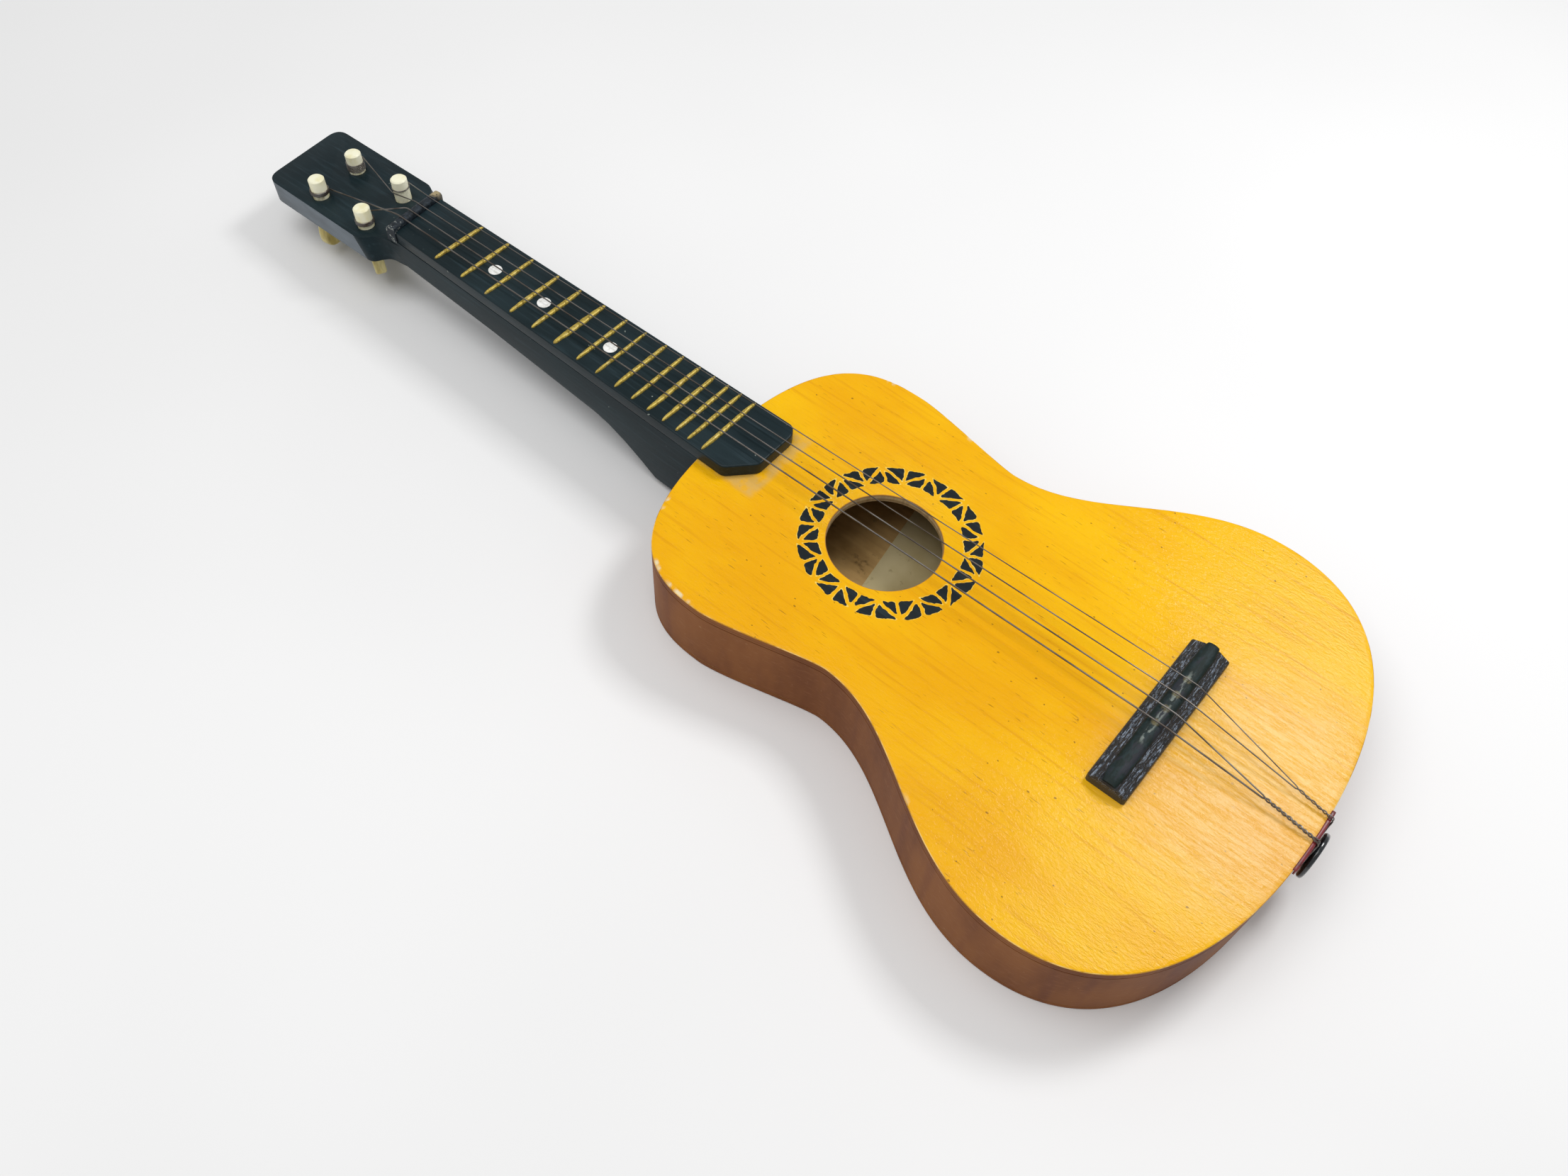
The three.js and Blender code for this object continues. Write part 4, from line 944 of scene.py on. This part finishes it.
def twisted(head_part, meet, lip, side, radius):
    """Turns the stretch between the meeting point and the tail into one strand of a twisted pair."""
    path = [p for p in head_part if p.y > meet.y + 4 * MM]
    centre_start = Vector((meet.x - side, meet.y, meet.z))
    centre_end = Vector((lip.x - side, lip.y, lip.z))
    length = (centre_end - centre_start).length
    pitch = 5.2 * MM
    start = 0 if side > 0 else math.pi
    steps = 60
    for k in range(steps + 1):
        t = k / steps
        close = min(1, 6 * t, 6 * (1 - t))
        spread = (abs(side) * (1 - close)) + close * (radius + 0.1 * MM)
        turn = start + 2 * math.pi * round(length / pitch) * t
        offset = Vector((math.cos(turn) * spread, 0, math.sin(turn) * spread * close))
        path.append(centre_start.lerp(centre_end, t) + offset)
    return path


def strings(finishes):
    for i, radius in enumerate(STRING_RADII):
        head_part, tail_part, meet, lip, side = string_run(i)
        path = twisted(head_part, meet, lip, side, radius)
        piece = tube(f"string_{i + 1}_wire", path + tail_part[1:], radius, 10)
        finished(piece, "body", "steel_string", finishes["wire"], f"string_{i + 1}")


def coil_tree():
    """A close helix of round wire."""
    sizes = dict.fromkeys(("Turns", "Radius", "Wire", "Height"), "Float")
    recipe = Recipe("string_coil", **sizes, Finish="Material")
    add, given = recipe.add, recipe.given
    helix = {"Resolution": 24, "Rotations": given["Turns"], "Height": given["Height"]}
    helix |= {end + " Radius": given["Radius"] for end in ("Start", "End")}
    spiral = add("GeometryNodeCurveSpiral", helix)
    section = add("GeometryNodeCurvePrimitiveCircle", {"Resolution": 8, "Radius": given["Wire"]})
    wound = {"Curve": spiral, "Profile Curve": section, "Fill Caps": True}
    wire = add("GeometryNodeCurveToMesh", wound)
    return recipe.give(add("GeometryNodeRealizeInstances", {0: wire}))


def windings(finishes):
    tree = coil_tree()
    for i, (x, back, up, turns, begin) in enumerate(PEGS):
        radius = STRING_RADII[i]
        # The coil stops one turn short of the height at which the string runs off it.
        height = abs(up - begin) * MM - 2.1 * radius
        coil = run_tree(
            f"string_coil_{i + 1}",
            tree,
            Turns=float(turns),
            Radius=PEG_RADIUS + radius + 0.05 * MM,
            Wire=radius,
            Height=height,
            Finish=finishes["wire"],
        )
        low = begin * MM if begin < up else up * MM + 2.1 * radius
        place = Matrix.Translation(on_head(x, back, 0)) @ Matrix.Rotation(-HEAD_TILT, 4, "X")
        coil.data.transform(place @ Matrix.Translation(Vector((0, 0, low))))
        coil.data.shade_smooth()
        finished(coil, f"peg_unit_{i + 1}", "steel_string", finishes["wire"], f"string_winding_{i + 1}")


# Neck, head, fretboard and fittings


def edge_at(edge, y):
    """How far an edge of the neck lies from the centre line."""
    at_nut, at_body = edge
    share = min((y - SHOULDER_Y) / (NUT_FRONT - SHOULDER_Y), 1)
    return (at_body + (at_nut - at_body) * share) * MM


BASS_EDGE = (17, 21.2)
TREBLE_EDGE = (16, 18.4)
BASS_CORNER = (12.5 * MM, 11.5 * MM)
TREBLE_CORNER = (4.5 * MM, 3.5 * MM)
BOARD_SEAM = 0.1 * MM


def board_outline():
    end = BOARD_BOX[0][1]
    bass, treble = edge_at(BASS_EDGE, end), edge_at(TREBLE_EDGE, end)
    at_nut = [BASS_EDGE[0] * MM, TREBLE_EDGE[0] * MM]
    skew = math.tan(NUT_TURN)
    top = NUT_FRONT - BOARD_SEAM
    corners = [
        (at_nut[1], top + at_nut[1] * skew),
        (-at_nut[0], top - at_nut[0] * skew),
        (-bass, end + BASS_CORNER[1]),
        (BASS_CORNER[0] - bass, end),
        (treble - TREBLE_CORNER[0], end),
        (treble, end + TREBLE_CORNER[1]),
    ]
    flat = [Vector((x, y, 0)) for x, y in corners]
    soft = [flat[0], flat[1]]
    for i in (2, 3, 4, 5):
        soft += bend(flat[i - 1], flat[i], flat[(i + 1) % 6], 2.2 * MM, 0.45, 4)
    return soft


def board():
    """The fretboard: a slab with well eased edges."""
    bm = bmesh.new()
    slab(bm, board_outline(), TOP_FACE, BOARD_BOX[1][2] - TOP_FACE)
    piece = add_object("fretboard_painted", mesh_from(bm, "fretboard_painted"))
    return round_edges(piece, 0.8 * MM, 4, 50, 50, "MITER_SHARP")


def gilt_bar(node):
    """A fret as a brushed bar: round on top, fuller in the middle, wavering, its ends blunt."""
    low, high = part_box(node)
    middle_y = (low[1] + high[1]) / 2
    face = BOARD_BOX[1][2]
    half = (high[1] - low[1]) / 2
    rise = high[2] - face
    left, right = low[0] + 0.3 * MM, high[0] - 0.3 * MM
    stations, sides = 36, 12
    seed = Vector((0, middle_y * 97, 0))
    bm = bmesh.new()
    painted = bm.verts.layers.float.new("painted_end")
    rings = []
    for i in range(stations + 1):
        t = i / stations
        u = 2 * t - 1
        x = left + (right - left) * t
        blunt = max(0.0, 1 - abs(u) ** 14) ** 0.5
        fuller = 0.58 + 0.3 * (1 - u * u)
        waver = 1 + 0.22 * noise.noise(seed + Vector((x * 260, 0, 0)))
        wide = min(half, half * fuller * waver) * max(blunt, 0.25)
        uneven = 1 + 0.1 * noise.noise(seed + Vector((x * 330, 5, 0)))
        tall = rise * (0.75 + 0.25 * blunt) * uneven * max(blunt, 0.3)
        sway = (half - wide) * 0.8 * noise.noise(seed + Vector((x * 60, 9, 0)))
        ring = []
        for k in range(sides):
            turn = math.pi * k / (sides - 1)
            sunk = 0.12 * MM if k in (0, sides - 1) else 0
            z = face + max(0.0, min(rise, tall * math.sin(turn) ** 0.8)) - sunk
            vert = bm.verts.new((x, middle_y + sway + wide * math.cos(turn), z))
            vert[painted] = 1.0 if abs(u) > 0.965 else 0.0
            ring.append(vert)
        rings.append(ring)
    skin(bm, rings)
    return add_object(node + "_gilt", mesh_from(bm, node + "_gilt", 60))


def neck_and_board(finishes):
    neck = softened("neck", "neck_painted", 0.9 * MM, segments=3)
    finished(neck, "body", "black_paint", [finishes["black"], finishes["edge"]], "neck")
    # Painted sheen: the sides of the head are painted grey for the light reflected from them, up to
    # where the flare begins.
    for face in neck.data.polygons:
        if face.center.y > HEAD_EDGE_START and abs(face.normal.z) < 0.5:
            face.material_index = 1
    finished(board(), "body", "black_paint", finishes["board"], "fretboard")
    nut = softened("nut", "nut_painted", 0.45 * MM, segments=3)
    finished(nut, "body", "black_paint", finishes["nut"], "nut")
    for number in range(1, 16):
        node = f"fret_{number:02d}"
        finished(gilt_bar(node), "body", "fret_gold", finishes["gold"], node)
    for number in (1, 2, 3):
        node = f"position_dot_{number}"
        dot = softened(node, node + "_inlay", 0.15 * MM)
        finished(dot, "body", "white_dot", finishes["white"], node)


def pegs(finishes):
    for number in (1, 2, 3, 4):
        node = f"peg_{number}"
        peg = softened(node, node + "_turned", 0.5 * MM, segments=3, angle=25)
        finished(peg, f"peg_unit_{number}", "ivory_peg", finishes["ivory"], node)


BRIDGE_EDGE = 4.5 * MM
BRIDGE_RIDGE = 6.4 * MM
CREST_HALF = 3.9 * MM
KNOB = 2.2 * MM
BRIDGE_ROUNDING = 0.9 * MM


def slope_profile():
    """Half of the bridge's section: distance from its middle and height, from the foot to the crest."""
    half = (BRIDGE_BOX[1][1] - BRIDGE_BOX[0][1]) / 2
    ease, shoulder = BRIDGE_ROUNDING, half - BRIDGE_ROUNDING
    points = [(half, 0.0), (half, 0.4 * BRIDGE_EDGE), (half, 0.8 * BRIDGE_EDGE)]
    for turn in (math.radians(30 * k) for k in (1, 2, 3)):
        points.append((half - ease * (1 - math.cos(turn)), BRIDGE_EDGE - ease * (1 - math.sin(turn))))
    for t in (k / 11 for k in range(1, 12)):
        height = BRIDGE_EDGE + (BRIDGE_RIDGE - BRIDGE_EDGE) * t
        points.append((shoulder - (shoulder - CREST_HALF) * t, height))
    points.append((1.2 * MM, BRIDGE_RIDGE))
    return points


def bridge_bar():
    """The bridge: paint dragged in streaks over its two slopes, its ends and corners worn round."""
    low, high = BRIDGE_BOX
    middle = (low[1] + high[1]) / 2
    half_profile = slope_profile()
    profile = [(y, z) for y, z in half_profile] + [(-y, z) for y, z in reversed(half_profile)]
    stations = 150
    bm = bmesh.new()
    flank = bm.verts.layers.float.new("flank")
    rings = []
    for i in range(stations + 1):
        t = i / stations
        x = low[0] + (high[0] - low[0]) * t
        from_end = min(x - low[0], high[0] - x)
        round_share = min(1.0, from_end / (1.2 * MM))
        pull = 1.0 * MM * (1 - math.sqrt(max(0.0, 1 - (1 - round_share) ** 2)))
        ring = []
        for y, z in profile:
            slope = 1.0 if CREST_HALF < abs(y) < 8.3 * MM and z > BRIDGE_EDGE - 0.5 * MM else 0.0
            streak = noise.noise(Vector((x * 150, y * 1500, 3)))
            streak += 0.6 * noise.noise(Vector((x * 420, y * 2600, 8)))
            lift = 0.16 * MM * streak * slope * round_share
            side = y - math.copysign(pull, y) * (abs(y) > CREST_HALF)
            top = z if z == 0 else max(0.3 * MM, z + lift - 0.7 * pull * (z > BRIDGE_EDGE * 0.5))
            vert = bm.verts.new((x, middle + side, low[2] + top))
            vert[flank] = slope
            ring.append(vert)
        rings.append(ring)
    skin(bm, rings)
    return add_object("bridge_painted", mesh_from(bm, "bridge_painted", 50))


def crest():
    """The saddle: a broad smooth crest that runs out at the bass end, past the bridge at the other."""
    low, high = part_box("saddle")
    middle = (low[1] + high[1]) / 2
    start, stop = BRIDGE_BOX[0][0] + 0.8 * MM, high[0]
    seat = BRIDGE_BOX[0][2] + BRIDGE_RIDGE - 0.35 * MM
    rise = high[2] - seat
    stations, sides = 90, 17
    rings = []
    for i in range(stations + 1):
        t = i / stations
        x = start + (stop - start) * t
        from_start, from_stop = x - start, stop - x
        fade_in = min(1.0, from_start / (7 * MM)) ** 0.6
        knob = max(0.0, 1 - abs(from_stop - KNOB) / KNOB)
        end_round = min(1.0, from_stop / (1.1 * MM))
        end_round = math.sqrt(max(0.05, 1 - (1 - end_round) ** 2))
        narrower = 1 - 0.35 * min(1.0, max(0.0, 1 - from_stop / (6 * MM)))
        wide = CREST_HALF * (0.75 + 0.25 * fade_in) * narrower
        wide *= end_round * (1 + 0.06 * noise.noise(Vector((x * 200, 0, 2))))
        uneven = 0.9 + 0.06 * noise.noise(Vector((x * 160, 4, 2))) + 0.06 * knob
        tall = rise * (0.45 + 0.55 * fade_in) * end_round * uneven
        ring = []
        for k in range(sides):
            turn = math.pi * k / (sides - 1)
            y = wide * math.cos(turn)
            z = min(rise, tall * math.sin(turn) ** 0.5) if 0 < k < sides - 1 else 0.0
            ring.append(Vector((x, middle + y, seat + z)))
        rings.append(ring)
    return sweep("saddle_painted", rings, 60)


def bridge(finishes):
    finished(bridge_bar(), "bridge_unit", "black_paint", finishes["bridge"], "bridge")
    finished(crest(), "bridge_unit", "black_paint", finishes["crest"], "saddle")


def tail(finishes):
    strip = softened("tail_saddle", "tail_strip", 0.25 * MM)
    finished(strip, "body", "red_strip", finishes["red"], "tail_saddle")
    button = softened("end_button", "end_button_turned", 0.3 * MM, segments=3, angle=25)
    finished(button, "body", "black_button", finishes["button"], "end_button")
    screw = softened("end_button_screw", "end_button_screw_slotted", 0.15 * MM)
    finished(screw, "body", "steel_screw", finishes["steel"], "end_button_screw")


def inside(finishes):
    """The frame's own blocks, linings, braces, label and neck screw, with their finishes."""
    bare = [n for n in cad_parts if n.startswith(("lining_", "soundboard_brace_", "back_brace_"))]
    for node in [*bare, "neck_block", "tail_block"]:
        coat(node, finishes["bare"])
    coat("label", finishes["paper"])
    coat("neck_screw", finishes["steel"])


def coat(node, material):
    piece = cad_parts[node]
    piece.data.materials.clear()
    piece.data.materials.append(material)


# Stage, lights and camera

CAMERA_AIM = Vector((-49.81 * MM, 17.51 * MM, TOP_FACE))
CAMERA_DISTANCE = 558.49 * MM
CAMERA_AZIMUTH = math.radians(-53.795)
CAMERA_ELEVATION = math.radians(55.769)
CAMERA_ROLL = math.radians(4.376)
CAMERA_LENS = 29.953
SENSOR_WIDTH = 36
FLOOR_HALF = 8
# How strongly the white room lights the object
ROOM_GLOW = 0.42
# Each light: its place, where it points, its size and its power in watts. A broad soft one hangs
# overhead, and a window stands beyond the lower bout, whose gloss falls on it.
LIGHTS = {
    "overhead": ((-0.4, 0.3, 1.5), (0, 0, 0), (1.2, 1.2), 11),
    "window": ((0.6, -0.21, 0.95), (0.01, -0.19, TOP_FACE), (0.28, 0.3), 4.6),
}


def view_frame():
    """The camera's right, up and backward directions."""
    level = math.cos(CAMERA_ELEVATION)
    aside, ahead = math.sin(CAMERA_AZIMUTH), math.cos(CAMERA_AZIMUTH)
    back = Vector((aside * level, -ahead * level, math.sin(CAMERA_ELEVATION)))
    right = Vector((ahead, aside, 0))
    up = back.cross(right)
    roll_right = math.cos(CAMERA_ROLL) * right + math.sin(CAMERA_ROLL) * up
    roll_up = math.cos(CAMERA_ROLL) * up - math.sin(CAMERA_ROLL) * right
    return roll_right, roll_up, back


def camera():
    right, up, back = view_frame()
    data = bpy.data.cameras.new("camera")
    data.lens = CAMERA_LENS
    data.sensor_width = SENSOR_WIDTH
    eye = bpy.data.objects.new("camera", data)
    place = Matrix((right, up, back)).transposed().to_4x4()
    place.translation = CAMERA_AIM + back * CAMERA_DISTANCE
    eye.matrix_world = place
    bpy.context.scene.collection.objects.link(eye)
    bpy.context.scene.camera = eye


def light(name, place, aim, size, power):
    data = bpy.data.lights.new(name, "AREA")
    data.shape = "RECTANGLE"
    data.size, data.size_y = size
    data.energy = power
    lamp = bpy.data.objects.new(name, data)
    lamp.matrix_world = (Vector(aim) - Vector(place)).to_track_quat("-Z", "Y").to_matrix().to_4x4()
    lamp.location = place
    bpy.context.scene.collection.objects.link(lamp)


def floor():
    bm = bmesh.new()
    for x, y in ((-1, -1), (1, -1), (1, 1), (-1, 1)):
        bm.verts.new((x * FLOOR_HALF, y * FLOOR_HALF, 0))
    bm.faces.new(bm.verts)
    sheet = add_object("floor", mesh_from(bm, "floor"))
    finish = Finish("pale_floor", roughness=0.9, specular=0.1)
    faint = finish.noise((2, 2, 2), detail=2)
    finish.ground(faint, 0.4, 0.6, "F2F2F2", "F6F6F6")
    sheet.data.materials.append(finish.material)


def surroundings():
    """A plain white room that lights the object evenly and shows white to the camera."""
    world = bpy.data.worlds.new("room")
    bpy.context.scene.world = world
    world.use_nodes = True
    tree = world.node_tree
    back = tree.nodes["Background"]
    path = tree.nodes.new("ShaderNodeLightPath")
    seen = tree.nodes.new("ShaderNodeMapRange")
    tree.links.new(path.outputs["Is Camera Ray"], seen.inputs["Value"])
    seen.inputs["To Min"].default_value = ROOM_GLOW
    seen.inputs["To Max"].default_value = 1.0
    tree.links.new(seen.outputs[0], back.inputs["Strength"])
    back.inputs["Color"].default_value = (1, 1, 1, 1)


def make():
    camera()
    finishes = {
        "yellow": yellow_varnish(),
        "brown": brown_stain(),
        "layers": ply_layers(),
        "bare": bare_ply(),
        "black": black_paint(),
        "board": black_paint("board_paint", 0.36, "0F1E22", "1B2B30"),
        # A grey copy of the black paint, the painted sheen on the head's sides.
        "edge": black_paint("head_side_painted_sheen", 0.5, "5F666C", "79828A"),
        "nut": nut_paint(),
        "stencil": black_paint("stencil_paint", 0.6, "0D171B", "152125"),
        "cut": mottled("cut_line", 300, "F3CF5C", "EBB41E", (0.4, 0.6), roughness=0.6, specular=0.2),
        "bridge": ribbed_black(),
        "crest": worn_black(),
        "gold": aged_gold(),
        "ivory": ivory(),
        "wire": drawn_wire(),
        "white": mottled("white_plastic", 600, "FBFBF8", "DADAD2", (0.45, 0.8), 2, roughness=0.3),
        "red": mottled(
            "red_plastic", 260, "7A2026", "541519", relief=0.1 * MM, strength=0.4, roughness=0.35
        ),
        "button": glossy_black(),
        "steel": mottled(
            "dull_steel", 900, "9C9C98", "6E6A62",
            relief=0.05 * MM, strength=0.5, roughness=0.4, metallic=1.0,
        ),
        "paper": old_paper(),
    }
    body(finishes)
    stencil_ring(finishes)
    neck_and_board(finishes)
    pegs(finishes)
    windings(finishes)
    strings(finishes)
    bridge(finishes)
    tail(finishes)
    inside(finishes)
    floor()
    surroundings()
    for name, values in LIGHTS.items():
        light(name, *values)
    bpy.context.scene.view_settings.view_transform = "Standard"


make()
